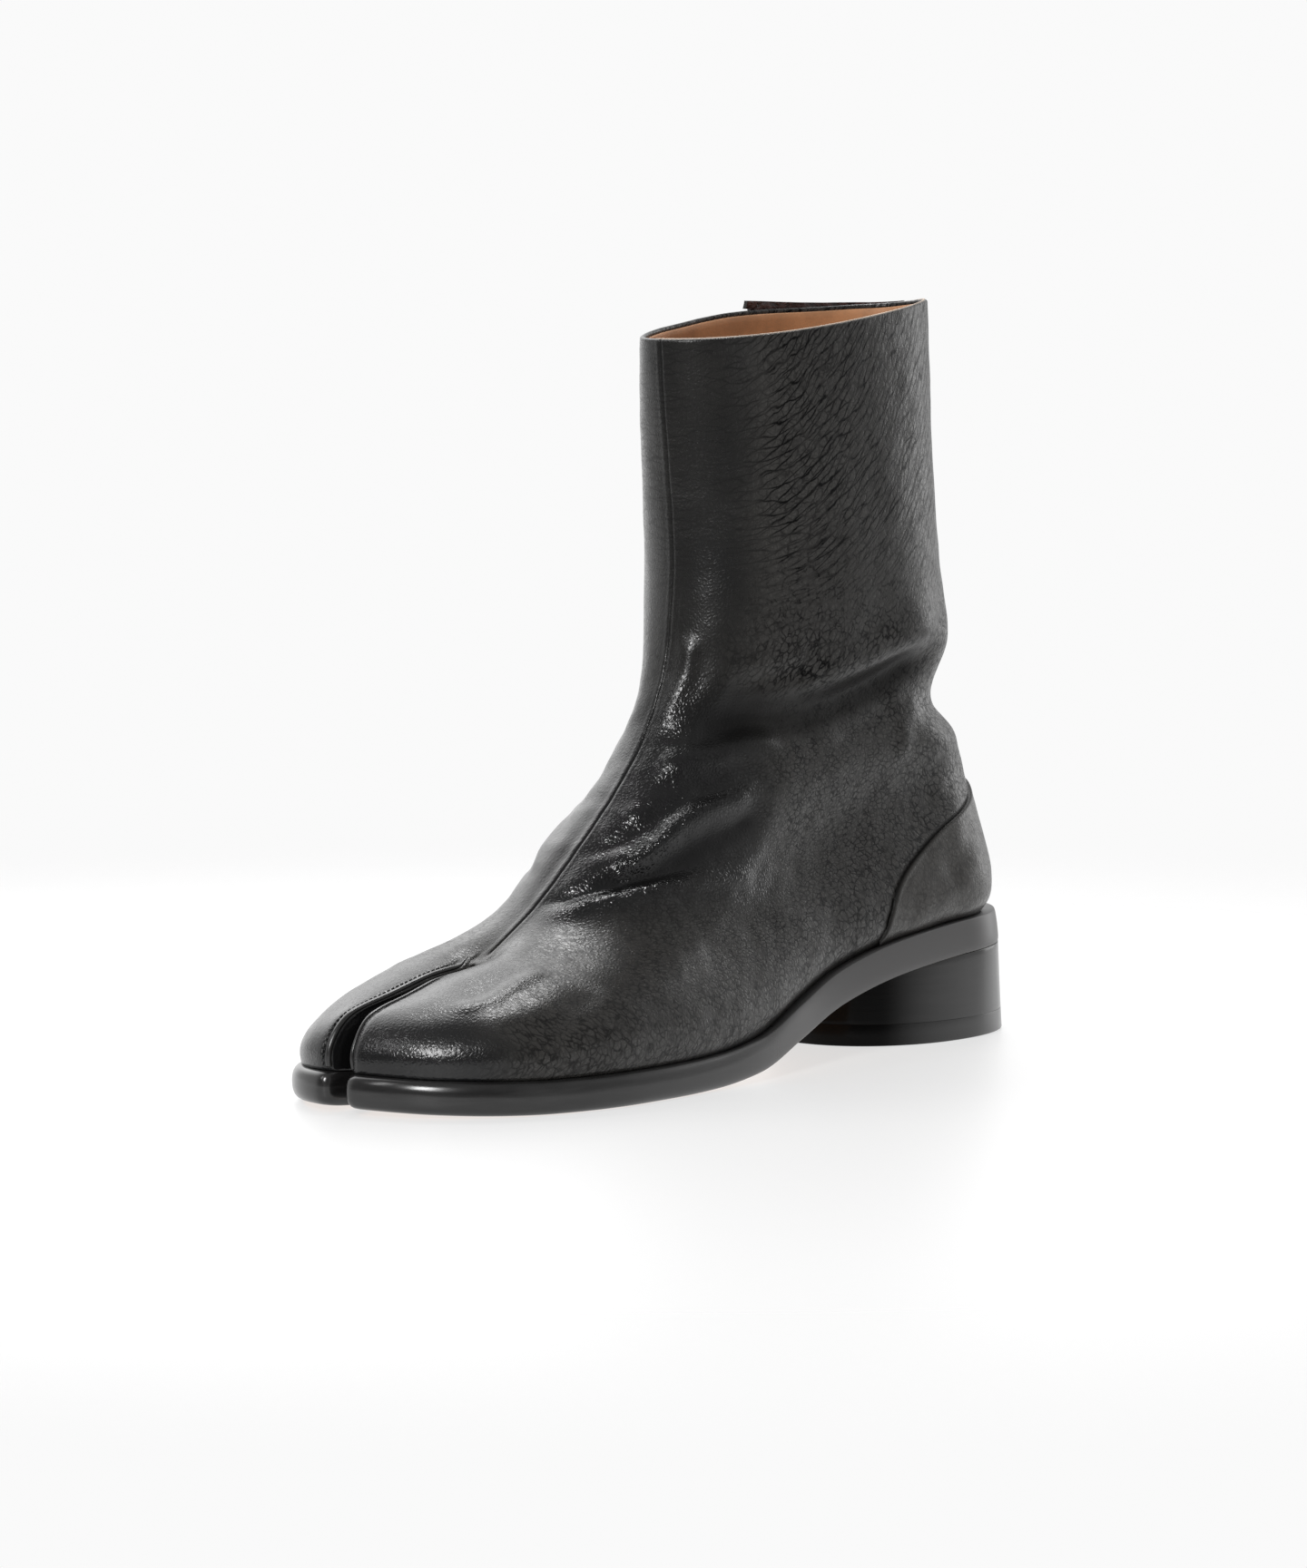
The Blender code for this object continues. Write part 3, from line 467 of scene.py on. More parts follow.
cleft_rows = [r for r in range(ROWS) if base[r, N_HALF, 1] <= CLEFT_BACK_Y + 3 and LEVELS[r] < 7.4]
EDGE_OUT, EDGE_IN = OUTER[0] + OUTER[1] // 2, COLS - INNER[0] - INNER[1] // 2
edge_l = base[:len(cleft_rows), EDGE_OUT]
edge_m = base[:len(cleft_rows), EDGE_IN]
seam_rows = np.arange(len(cleft_rows) - 2, ROWS)
seam_line = base[seam_rows, N_HALF]


def waves(p, seed, size):
    """Smooth seeded unevenness about 1 high, with features of one size in mm."""
    rng = np.random.default_rng(seed)
    out = np.zeros(len(p))
    for _ in range(14):
        k = rng.normal(size=3)
        k *= 2 * math.pi / size / np.linalg.norm(k) * rng.uniform(0.6, 1.5)
        out += np.sin(p @ k + rng.uniform(0, 2 * math.pi))
    return out / math.sqrt(14)


def creased(p):
    """The much bent part of the instep, 0..1."""
    return ease(-66, -44, p[:, 1]) * ease(30, 5, p[:, 1]) * ease(42, 56, p[:, 2]) * ease(122, 104, p[:, 2])


def crease_height(p):
    out = np.zeros(len(p))
    off_seam, _ = near_line(p, seam_line[::6])
    inner_fade = ease(5, 24, off_seam)
    out += (INNER_SWELL * np.exp(-((p[:, 2] - 64.5) / 11.5) ** 2) * np.exp(-((off_seam - 18) / 13) ** 2)
            * ease(0, 8, off_seam) * ease(0, -6, p[:, 0] - cleft_x(p[:, 1])))
    for side, height, half_width, line in crease_lines:
        box = (p > line.min(0) - 3 * half_width).all(1) & (p < line.max(0) + 3 * half_width).all(1)
        if not box.any():
            continue
        d, along = near_line(p[box], line)
        taper = ease(0, 0.22, along) * ease(1, 0.78, along)
        out[box] += height * np.exp(-(d / half_width) ** 2) * taper * (1.0 if side > 0 else inner_fade[box])
    out += 0.16 * waves(p, 5, 34.0) + 0.05 * waves(p, 6, 13.0) + 0.10 * creased(p) * waves(p, 8, 7.0)
    return out


def fold_depth(p):
    """How deep a point lies in the ankle fold, 0..1, used for the painted shade there."""
    out = np.zeros(len(p))
    for (name, _, _, _), pair in zip(CREASES, zip(crease_lines[::2], crease_lines[1::2])):
        if name != "ankle_fold":
            continue
        for (_, _, _, line), most in zip(pair, (1.0, 0.4)):
            d, along = near_line(p, line)
            out = np.maximum(out, most * np.exp(-(d / 8.5) ** 2) * ease(0, 0.18, along) * ease(1, 0.80, along))
    return out


def tuck_height(p):
    """The upper draws in just above the sole, most at the waist and heel."""
    rise = np.clip((p[:, 2] - feather(p[:, 1])) / 6.5, 0, 1)
    return -(0.15 + 0.35 * ease(-115, -80, p[:, 1]) + 1.5 * ease(-30, 50, p[:, 1])) * (1 - rise) ** 2


def seam_height(p):
    """Front seam, edges of the cleft and the groove beside the counter."""
    out = np.zeros(len(p))
    d, along = near_line(p, seam_line)
    fade = ease(0.0, 0.02, along)
    out += fade * (-0.50 * np.exp(-(d / 0.32) ** 2) + 0.12 * np.exp(-((d - 1.2) / 0.8) ** 2))
    for line in (edge_l, edge_m):
        d, along = near_line(p, line)
        fade = ease(1.0, 0.97, along)
        out += fade * (-0.35 * np.exp(-((d - 1.7) / 0.6) ** 2))
    d, along = near_line(p, counter_line)
    out += -0.40 * np.exp(-(d / 0.8) ** 2)
    return out


flat_points = base.reshape(-1, 3)
relief = (crease_height(flat_points) + seam_height(flat_points)).reshape(ROWS, COLS)
relief *= ease(0, 3, np.arange(ROWS))[:, None]
relief += tuck_height(flat_points).reshape(ROWS, COLS)
skin = base + base_normal * relief[..., None]


# ---------------------------------------------------------------- materials
class Nodes:
    """Small helper that builds and wires shader nodes."""

    def __init__(self, mat):
        mat.use_nodes = True
        self.tree = mat.node_tree
        self.tree.nodes.clear()
        self.out = self.tree.nodes.new("ShaderNodeOutputMaterial")
        self.shader = self.tree.nodes.new("ShaderNodeBsdfPrincipled")
        self.tree.links.new(self.shader.outputs[0], self.out.inputs["Surface"])

    def add(self, kind, inputs=None, **props):
        node = self.tree.nodes.new(kind)
        for key, value in props.items():
            setattr(node, key, value)
        for key, value in (inputs or {}).items():
            self.put(node.inputs[key], value)
        return node

    def put(self, socket, value):
        if isinstance(value, bpy.types.NodeSocket):
            self.tree.links.new(value, socket)
        else:
            socket.default_value = value

    def math(self, op, a, b=0.5, c=0.5, clamp=False):
        n = self.add("ShaderNodeMath", {0: a, 1: b, 2: c}, operation=op, use_clamp=clamp)
        return n.outputs[0]

    def ramp(self, value, low, high, to_low=0.0, to_high=1.0):
        n = self.add("ShaderNodeMapRange", {0: value, 1: low, 2: high, 3: to_low, 4: to_high}, interpolation_type="SMOOTHSTEP")
        return n.outputs[0]

    def mix(self, fac, a, b):
        n = self.add("ShaderNodeMix", data_type="RGBA")
        self.put(n.inputs["Factor"], fac)
        self.put(n.inputs["A"], a)
        self.put(n.inputs["B"], b)
        return n.outputs["Result"]

    def coords(self):
        return self.add("ShaderNodeTexCoord").outputs["Object"]

    def mapped(self, vec, rot=(0, 0, 0), scale=(1, 1, 1)):
        n = self.add("ShaderNodeMapping", {"Vector": vec, "Rotation": rot, "Scale": scale})
        return n.outputs[0]

    def noise(self, vec, scale, detail=3.0, rough=0.5):
        return self.add("ShaderNodeTexNoise", {"Vector": vec, "Scale": scale, "Detail": detail, "Roughness": rough})

    def edges(self, vec, scale, randomness=1.0):
        n = self.add("ShaderNodeTexVoronoi", {"Vector": vec, "Scale": scale, "Randomness": randomness}, feature="DISTANCE_TO_EDGE")
        return n.outputs["Distance"]

    def nudge(self, vec, noise, amount):
        a = self.add("ShaderNodeVectorMath", {0: noise.outputs["Color"], 1: (0.5, 0.5, 0.5)}, operation="SUBTRACT")
        b = self.add("ShaderNodeVectorMath", {0: a.outputs[0], 3: amount}, operation="SCALE")
        c = self.add("ShaderNodeVectorMath", {0: vec, 1: b.outputs[0]}, operation="ADD")
        return c.outputs[0]

    def attribute(self, name):
        return self.add("ShaderNodeAttribute", attribute_name=name).outputs["Fac"]

    def bump(self, height, distance, strength=1.0):
        n = self.add("ShaderNodeBump", {"Strength": strength, "Distance": distance, "Height": height})
        return n.outputs[0]

    def set(self, **sockets):
        for key, value in sockets.items():
            self.put(self.shader.inputs[key.replace("_", " ")], value)


def grained_leather(name, tone=1.0, lines=1.15):
    """Black semi-gloss leather: small plates between a network of fine cracks,
    running aslant up the shaft and more upright round the foot."""
    mat = bpy.data.materials.new(name)
    n = Nodes(mat)
    here = n.coords()
    grain, shaft = n.attribute("grain"), n.attribute("shaft")
    bent = n.nudge(here, n.noise(here, 210.0, 2.0), 0.0017)
    bent = n.nudge(bent, n.noise(here, 700.0, 1.0), 0.0005)

    def blend(fac, a, b):
        return n.math("ADD", n.math("MULTIPLY", n.math("SUBTRACT", 1.0, fac), a), n.math("MULTIPLY", fac, b))

    jag = n.noise(here, 520.0, 3.0, 0.65)
    wander = n.noise(here, 170.0, 2.0, 0.5)

    def way_of(flow):
        return n.add("ShaderNodeAttribute", attribute_name=flow).outputs["Vector"]

    def folds(flow, lean, pitch, stretch, sway, shake):
        """Wavy lines along the flow, pitch apart, leaning by a share of the run."""
        way = way_of(flow)
        part = n.add("ShaderNodeSeparateXYZ", {0: way}).outputs
        bend = n.noise(n.mapped(way, scale=(stretch, 1.0, 1.0)), 0.36 / pitch, 2.0, 0.6).outputs["Fac"]
        phase = n.math("ADD", n.math("MULTIPLY", part[0], lean / pitch), n.math("MULTIPLY", part[1], 1.0 / pitch))
        phase = n.math("ADD", phase, n.math("MULTIPLY", bend, sway))
        phase = n.math("ADD", phase, n.math("MULTIPLY", jag.outputs["Fac"], shake))
        return n.math("MULTIPLY", n.math("PINGPONG", phase, 0.5), 2.0)

    def plates(flow, size, stretch):
        """Edges of irregular plates, longer along the flow."""
        way = n.nudge(n.nudge(way_of(flow), wander, 0.0022), jag, 0.0016)
        return n.edges(n.mapped(way, scale=(stretch, 1.0, 1.0)), 1.0 / size)

    patch = n.noise(here, 60.0, 3.0, 0.6).outputs["Fac"]
    blotch = n.noise(here, 150.0, 2.0, 0.6).outputs["Fac"]
    fine = n.noise(here, 2600.0, 2.0, 0.6).outputs["Fac"]
    tilt = n.noise(bent, 760.0, 1.0, 0.5).outputs["Fac"]
    broken = n.noise(here, 260.0, 2.0, 0.6).outputs["Fac"]
    fold_s = n.math("MINIMUM", folds("flow_shaft", 0.0, 0.0027, 0.42, 2.2, 0.30), folds("flow_shaft", 0.30, 0.0038, 0.42, 2.4, 0.30))
    fold_f = n.math("MINIMUM", folds("flow_foot", 0.0, 0.0034, 0.45, 2.6, 0.36), folds("flow_foot", 0.35, 0.0044, 0.45, 2.6, 0.36))
    plate_s, plate_f = plates("flow_shaft", 0.0023, 0.60), plates("flow_foot", 0.0021, 0.75)
    small = n.edges(n.mapped(bent, scale=(1.0, 0.85, 0.85)), 980.0)
    line = blend(shaft, n.math("MULTIPLY", n.ramp(fold_f, 0.0, 0.26, 1.0, 0.0), n.ramp(blotch, 0.40, 0.66, 0.0, 0.85)),
                 n.math("MULTIPLY", n.ramp(fold_s, 0.0, 0.34, 1.0, 0.0), n.ramp(blotch, 0.30, 0.60, 0.50, 1.0)))
    web = blend(shaft, n.ramp(plate_f, 0.0, 0.22, 1.0, 0.0), n.ramp(plate_s, 0.0, 0.16, 0.6, 0.0))
    web = n.math("MULTIPLY", web, n.ramp(broken, 0.36, 0.58, 0.62, 1.0))
    line = n.math("MAXIMUM", line, web)
    cell = n.ramp(small, 0.0, 0.22, 1.0, 0.0)
    bead = n.ramp(small, 0.0, 0.42)
    pillow = n.math("ADD", n.math("MULTIPLY", n.ramp(blend(shaft, plate_f, plate_s), 0.0, 0.30), blend(shaft, 0.22, 0.40)), n.math("MULTIPLY", bead, 0.20))
    crack_and_shade = n.math("MAXIMUM", n.math("MULTIPLY", cell, blend(shaft, 0.40, 0.30)), line)
    crack_and_shade = n.math("MULTIPLY", crack_and_shade, n.math("MULTIPLY", grain, lines), clamp=True)
    # Painted shade: the shade attribute darkens the crack colour, dulls the reflection and roughens the leather in
    # crease troughs, the ankle fold, the gap just above the sole and along the counter's seam.
    crack_and_shade = n.math("MAXIMUM", crack_and_shade, n.attribute("shade"))
    height = n.math("ADD", n.math("MULTIPLY", tilt, blend(shaft, 0.28, 0.20)), n.math("MULTIPLY", fine, 0.14))
    height = n.math("ADD", height, n.math("MULTIPLY", bead, n.math("MULTIPLY", n.math("SUBTRACT", 1.0, grain), 0.36)))
    height = n.math("ADD", height, n.math("MULTIPLY", pillow, n.math("MULTIPLY", grain, 0.75)))
    height = n.math("ADD", height, n.math("MULTIPLY", bead, n.attribute("sparkle")))
    plate = n.mix(n.ramp(grain, 0.15, 0.85), (0.0060 * tone, 0.0060 * tone, 0.0063 * tone, 1), (0.0330 * tone, 0.0310 * tone, 0.0285 * tone, 1))
    colour = n.mix(crack_and_shade, plate, (0.0016, 0.0016, 0.0017, 1))
    rough = n.math("ADD", blend(shaft, 0.185, 0.215), n.math("MULTIPLY", patch, 0.08))
    rough = n.math("ADD", rough, n.math("MULTIPLY", crack_and_shade, 0.25))
    rough = n.math("MAXIMUM", n.math("SUBTRACT", rough, n.math("MULTIPLY", n.attribute("sparkle"), 0.28)), 0.11)
    n.set(Base_Color=colour, Roughness=rough, Normal=n.bump(height, 0.00016, 0.8), Specular_IOR_Level=0.5,
          Specular_Tint=n.mix(crack_and_shade, (1, 1, 1, 1), (0.08, 0.08, 0.08, 1)))
    return mat


def polished_edge(name, colour, rough, line_scale):
    """Dyed and burnished leather edge with faint layers along it, made paler by a painted highlight
    where it catches light, and darkened by painted shade, its reflection dulled too, where it faces into the arch."""
    mat = bpy.data.materials.new(name)
    n = Nodes(mat)
    here = n.coords()
    layers = n.noise(n.mapped(here, scale=(0.10, 0.10, 1.0)), line_scale, 3.0, 0.6)
    blot = n.noise(here, 45.0, 3.0)
    dark = tuple(c * 0.55 for c in colour)
    mixed = n.mix(n.ramp(layers.outputs["Fac"], 0.35, 0.7), (*dark, 1), (*colour, 1))
    r = n.math("ADD", n.math("MULTIPLY", blot.outputs["Fac"], 0.14), rough - 0.05)
    height = n.math("ADD", layers.outputs["Fac"], n.math("MULTIPLY", blot.outputs["Fac"], 0.6))
    pale, painted_breast_shade = n.attribute("pale"), n.attribute("painted_breast_shade")
    # Painted highlight: the colour is raised where the pale attribute is set.
    mixed = n.mix(pale, mixed, tuple(4.2 * c for c in colour) + (1,))
    # Painted shade: darker colour where the heel faces into the arch.
    mixed = n.mix(painted_breast_shade, mixed, (0.002, 0.002, 0.002, 1))
    r = n.math("ADD", r, n.math("MULTIPLY", pale, 0.14))
    n.set(Base_Color=mixed, Roughness=r, Normal=n.bump(height, 0.00006, 0.20), Specular_IOR_Level=0.64,
          Specular_Tint=n.mix(painted_breast_shade, (1, 1, 1, 1), (0.15, 0.15, 0.15, 1)))
    return mat


def natural_leather(name, colour, rough, pore):
    """Plain vegetable-tanned lining or sole leather with fine pores."""
    mat = bpy.data.materials.new(name)
    n = Nodes(mat)
    here = n.coords()
    blot = n.noise(here, 55.0, 4.0, 0.6)
    fine = n.noise(here, pore, 3.0, 0.65)
    pale = tuple(min(c * 1.18, 1) for c in colour)
    dark = tuple(c * 0.80 for c in colour)
    mixed = n.mix(n.ramp(blot.outputs["Fac"], 0.3, 0.7), (*dark, 1), (*pale, 1))
    mixed = n.mix(n.math("MULTIPLY", n.ramp(fine.outputs["Fac"], 0.55, 0.75), 0.35), mixed, (*[c * 0.6 for c in colour], 1))
    n.set(Base_Color=mixed, Roughness=n.math("ADD", n.math("MULTIPLY", fine.outputs["Fac"], 0.15), rough),
          Normal=n.bump(fine.outputs["Fac"], 0.00015, 0.4))
    return mat


def crumpled_backing(name):
    """Dark red-brown backing of the flap, creased and a little shiny."""
    mat = bpy.data.materials.new(name)
    n = Nodes(mat)
    here = n.coords()
    fold = n.noise(n.nudge(here, n.noise(here, 120.0, 2.0), 0.004), 420.0, 3.0, 0.6).outputs["Fac"]
    n.set(Base_Color=n.mix(n.ramp(fold, 0.35, 0.65), (0.010, 0.006, 0.006, 1), (0.055, 0.026, 0.024, 1)),
          Roughness=n.math("ADD", n.math("MULTIPLY", fold, 0.2), 0.25), Normal=n.bump(fold, 0.0010, 0.9))
    return mat


def plain_rubber(name):
    mat = bpy.data.materials.new(name)
    n = Nodes(mat)
    here = n.coords()
    fine = n.noise(here, 900.0, 3.0)
    blot = n.noise(here, 40.0, 3.0)
    painted_breast_shade = n.attribute("painted_breast_shade")
    colour = n.mix(blot.outputs["Fac"], (0.010, 0.010, 0.010, 1), (0.018, 0.018, 0.018, 1))
    # Painted shade: the front of the lift, facing into the arch, is darkened and its reflection dulled.
    n.set(Base_Color=n.mix(painted_breast_shade, colour, (0.002, 0.002, 0.002, 1)),
          Roughness=n.math("ADD", n.math("MULTIPLY", blot.outputs["Fac"], 0.12), 0.15),
          Normal=n.bump(fine.outputs["Fac"], 0.00005, 0.2), Specular_IOR_Level=0.62,
          Specular_Tint=n.mix(painted_breast_shade, (1, 1, 1, 1), (0.15, 0.15, 0.15, 1)))
    return mat


def thread(name):
    mat = bpy.data.materials.new(name)
    n = Nodes(mat)
    here = n.coords()
    twist = n.add("ShaderNodeTexWave", {"Vector": here, "Scale": 900.0, "Distortion": 1.0}, wave_type="BANDS", bands_direction="DIAGONAL")
    n.set(Base_Color=n.mix(twist.outputs["Fac"], (0.010, 0.010, 0.010, 1), (0.034, 0.033, 0.033, 1)),
          Roughness=n.math("ADD", n.math("MULTIPLY", twist.outputs["Fac"], 0.15), 0.28), Normal=n.bump(twist.outputs["Fac"], 0.00010, 0.5))
    return mat


LEATHER = grained_leather("leather_black_grained")
OVERLAY = grained_leather("leather_black_overlay")
# Painted light: the counter's leather is a 1.35 times lighter copy of the shaft leather, standing in for the light the
# counter catches; it also has fainter crack lines.
COUNTER = grained_leather("leather_black_counter_painted_lighter", 1.35, 0.6)
EDGE = polished_edge("sole_edge_black", (0.014, 0.0136, 0.0136), 0.20, 900.0)
HEEL = polished_edge("heel_stack_black", (0.014, 0.0135, 0.0135), 0.15, 500.0)
LINING = natural_leather("lining_leather_tan", (0.45, 0.225, 0.108), 0.5, 1100.0)
CUT_EDGE = natural_leather("lining_cut_edge", (0.50, 0.40, 0.32), 0.45, 700.0)
SOCK = natural_leather("sock_leather_tan", (0.44, 0.25, 0.135), 0.5, 1100.0)
SOLE_TAN = natural_leather("sole_leather_natural", (0.60, 0.35, 0.20), 0.42, 800.0)
FLAP_BACK = crumpled_backing("flap_backing_dark")
RUBBER = plain_rubber("top_piece_rubber")
PIPING = polished_edge("leather_black_piping", (0.012, 0.0117, 0.0115), 0.26, 700.0)
THREAD = thread("thread_black")


# ------------------------------------------------------------------- upper
def grain_amount(p):
    """How strongly the grain shows: coarse on the shaft, fine at the toe."""
    shaft = ease(95, 150, p[:, 2])
    foot = ease(-85, 45, p[:, 1])
    smooth_front = ease(29, 9, p[:, 1]) * shaft
    crest = 25 + 0.38 * (p[:, 1] + 120)
    flank = ease(4, -5, p[:, 2] - crest) * ease(-124, -98, p[:, 1])
    return np.clip(0.10 + 0.74 * foot * (1 - shaft) + 0.90 * shaft - 0.62 * smooth_front + 0.55 * flank * (1 - foot)
                   + 0.05 * waves(p, 11, 40.0), 0.05, 1.0)


def give_vector(obj, name, values):
    layer = obj.data.attributes.new(name, "FLOAT_VECTOR", "POINT")
    layer.data.foreach_set("vector", np.asarray(values, np.float32).ravel())


def run_along(grid, start):
    """Length along each row of a grid, counted both ways from one column."""
    step = np.linalg.norm(np.diff(grid, axis=1), axis=2)
    run = np.concatenate([np.zeros((len(grid), 1)), np.cumsum(step, 1)], 1)
    return run - run[:, start:start + 1]


def rubbed_ridges(p):
    """The two sharp ridges over the instep, rubbed to a beaded shine, 0..1."""
    out = np.zeros(len(p))
    names = [row[0] for row in CREASES]
    for name, reach in (("instep_ridge", 3.4), ("vamp_ridge", 3.0)):
        d, along = near_line(p, crease_lines[2 * names.index(name)][3])
        out = np.maximum(out, np.exp(-(d / reach) ** 2) * ease(0.0, 0.12, along) * ease(1.0, 0.75, along))
    return out


def give_grain(obj, grid, front, back, copies=1):
    """How strong the grain is and how it runs: on the shaft in lines that rise
    towards the back, steeper the farther from the front seam, and upright round
    the foot.  front and back are lengths along the rows, in mm."""
    p = grid.reshape(-1, 3)
    rise = np.concatenate([np.zeros((1, grid.shape[1])), np.cumsum(np.linalg.norm(np.diff(grid, axis=0), axis=2), 0)]).ravel()
    far = np.linspace(0, 160, 161)
    angle = np.radians(np.interp(far, [0, 18, 50, 90, 160], [6.0, 13.0, 40.0, 54.0, 60.0]))
    turn = np.interp(np.abs(front.ravel()), far, angle)
    climb = np.interp(np.abs(front.ravel()), far, np.cumsum(np.sin(angle)))
    across = (p[:, 2] - 160.0) * np.cos(turn) - climb
    along = np.abs(front.ravel()) * np.cos(turn) + (p[:, 2] - 160.0) * np.sin(turn)
    zero = np.zeros(len(p))
    shaft_flow = np.column_stack([along, across, zero]) * MM
    foot_flow = np.column_stack([rise, back.ravel() - 0.25 * rise, zero]) * MM
    give_value(obj, "grain", np.tile(grain_amount(p) * (1 - 0.55 * creased(p)), copies))
    give_value(obj, "shaft", np.tile(ease(112, 165, p[:, 2]) * ease(3, 20, np.abs(back.ravel())), copies))
    # Painted shade: darkens the leather in the troughs of the creases, in the ankle fold, in the shadow gap just above
    # the sole and along the counter's seam.
    shade = np.maximum(np.clip(-crease_height(p) / 3.4 - 0.10, 0, 0.85), 0.92 * fold_depth(p))
    shade = np.maximum(shade, 0.92 * np.exp(-((p[:, 2] - feather(p[:, 1])) / 1.8) ** 2) * ease(-90, 0, p[:, 1]))
    d, _ = near_line(p, counter_line)
    shade = np.maximum(shade, 0.92 * np.exp(-(d / 1.1) ** 2))
    give_value(obj, "shade", np.tile(shade, copies))
    sparkle = 0.22 * creased(p) * ease(-4, 8, p[:, 0] - cleft_x(p[:, 1])) + 0.60 * rubbed_ridges(p)
    give_value(obj, "sparkle", np.tile(sparkle, copies))
    give_vector(obj, "flow_shaft", np.tile(shaft_flow, (copies, 1)))
    give_vector(obj, "flow_foot", np.tile(foot_flow, (copies, 1)))


def build_upper():
    up = np.array([0.0, 0.0, 1.0])
    top = skin[-1].copy()
    top[:, 2] -= 0.75
    inward = -base_normal[-1] * np.array([1, 1, 0])
    inward /= np.linalg.norm(inward, axis=1, keepdims=True)
    rows = [row.copy() for row in skin]
    rows[-1] = top
    rows[-2] = 0.5 * (rows[-3] + top)
    tuck = skin[0] - base_normal[0] * 0.9
    tuck[:, 2] = feather(tuck[:, 1]) - 0.2
    rows = [tuck] + rows
    for a in np.linspace(0, math.pi, 9)[1:]:
        rows.append(top + inward * 0.8 * (1 - math.cos(a)) + up * 0.75 * math.sin(a))
    for drop, depth in ((0.6, 1.55), (1.2, 1.40), (1.8, 1.15)):
        rows.append(top + inward * depth - up * drop)
    grid = np.array(rows)
    pts = grid.reshape(-1, 3)
    obj = make_piece("upper_skin", pts, wrap(len(rows), COLS), [LEATHER])
    give_grain(obj, grid, run_along(grid, N_HALF), np.minimum(run_along(grid, 0), np.abs(run_along(grid, COLS - 1))))
    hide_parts("upper")
    # lining from just under the collar's fold down to the insole
    inner = skin - base_normal * (WALL + 0.1)
    crotch = base[len(cleft_rows) - 1, N_HALF]
    near = np.exp(-(np.linalg.norm(base - crotch, axis=2) / 9.0) ** 4)
    inner[..., 2] -= 3.0 * near
    keep = [r for r in range(ROWS) if r == 0 or (top[:, 2] - inner[r, :, 2]).min() > 4.2]
    keep = keep[::2] if keep[-1] in keep[::2] else keep[::2] + [keep[-1]]
    lining_rows = [inner[r] for r in keep]
    lining_rows += [top + inward * 2.08 - up * 2.6, top + inward * 2.05 - up * 1.0, top + inward * 1.8 - up * 0.55, top + inward * 1.4 - up * 0.6]
    lining_rows[0] = lining_rows[0].copy()
    lining_rows[0][:, 2] = feather(lining_rows[0][:, 1]) + 0.1
    obj2 = make_piece("lining", np.array(lining_rows).reshape(-1, 3), wrap(len(lining_rows), COLS, flip=True), [LINING], fix=False)
    return obj


build_upper()


# -------------------------------------------------------------------- soles
def build_outsole():
    d = (150, 10, 26)
    profile = [(7.0, 0.0), (3.4, 0.0), (2.3, 0.02), (1.45, 0.065), (0.75, 0.14), (0.28, 0.25), (0.04, 0.39), (0.0, 0.53), (0.10, 0.67),
               (0.42, 0.79), (0.95, 0.885), (1.6, 0.95), (2.3, 0.985), (3.2, 1.0), (7.0, 1.0)]
    rings = []
    square, _ = closed_outline(sole_section(0.0, -0.4), *d), None
    for inset, part in profile:
        xy = closed_outline(sole_section(inset, -0.4 + 0.4 * min(inset, 3.4) + 0.1 * max(inset - 3.4, 0.0)), *d)
        if inset < 3.5:
            soft = 0.16 + 0.84 * ease(30, -60, xy[:, 1:])
            lean = 0.20 * part * ease(-10, 60, xy[:, 1:])
            inner = closed_outline(sole_section(6.0, -0.4), *d)
            xy = square + (xy - square) * soft
            xy = xy + (inner - xy) * lean
        rings.append(np.column_stack([xy, sole_low(xy[:, 1]) + part * SOLE_THICK]))
    cols = len(rings[0])
    faces = wrap(len(rings), cols)
    index = [1 if r < 1 else 0 for r in range(len(rings) - 1) for _ in range(cols)]
    cap = sole_cap(rings[0], *d)
    faces += cap
    index += [1] * len(cap)
    cap = sole_cap(rings[-1], *d, first=(len(rings) - 1) * cols)
    faces += cap
    index += [0] * len(cap)
    obj = make_piece("outsole_edge", np.concatenate(rings), faces, [EDGE, SOLE_TAN], index)
    # Painted highlight: the edge is made paler from the waist back, where it catches light.
    give_value(obj, "pale", ease(-25, 60, np.concatenate(rings)[:, 1]))
    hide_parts("outsole")


def heel_ring(part, inset, n):
    """Outline of the heel: an oval at its foot (part 0), and at its top (part 1)
    flush with the sole's edge behind and an oval again in front."""
    a = np.linspace(0, 2 * math.pi, n, endpoint=False)
    c, s = np.cos(a), np.sin(a)
    foot = 1 / ((np.abs(s) / HEEL_HALF_WIDTH) ** HEEL_POWER + (np.abs(c) / HEEL_HALF_LENGTH) ** HEEL_POWER) ** (1 / HEEL_POWER)
    sole = sole_section(HEEL_INSET)
    top = np.zeros(n)
    for side in (1, -1):
        x, y = outline_point(sole, np.linspace(0, 0.5 * math.pi, 801), side)
        way = np.arctan2(side * x, y - HEEL_CENTRE_Y)
        behind = way <= 0.5 * math.pi
        reach = np.hypot(x, y - HEEL_CENTRE_Y)[behind]
        mine = (s * side > 0) | (np.abs(s) < 1e-9)
        front = 1 / ((np.abs(s) / reach[-1]) ** HEEL_POWER + (np.abs(c) / HEEL_TOP_LENGTH) ** HEEL_POWER) ** (1 / HEEL_POWER)
        back = np.interp(np.arctan2(np.abs(s), c), way[behind], reach)
        top[mine] = np.where(c[mine] > 0, back[mine], front[mine])
    r = (1 - part) * foot + part * top - inset
    return np.column_stack([r * s, r * c + HEEL_CENTRE_Y])


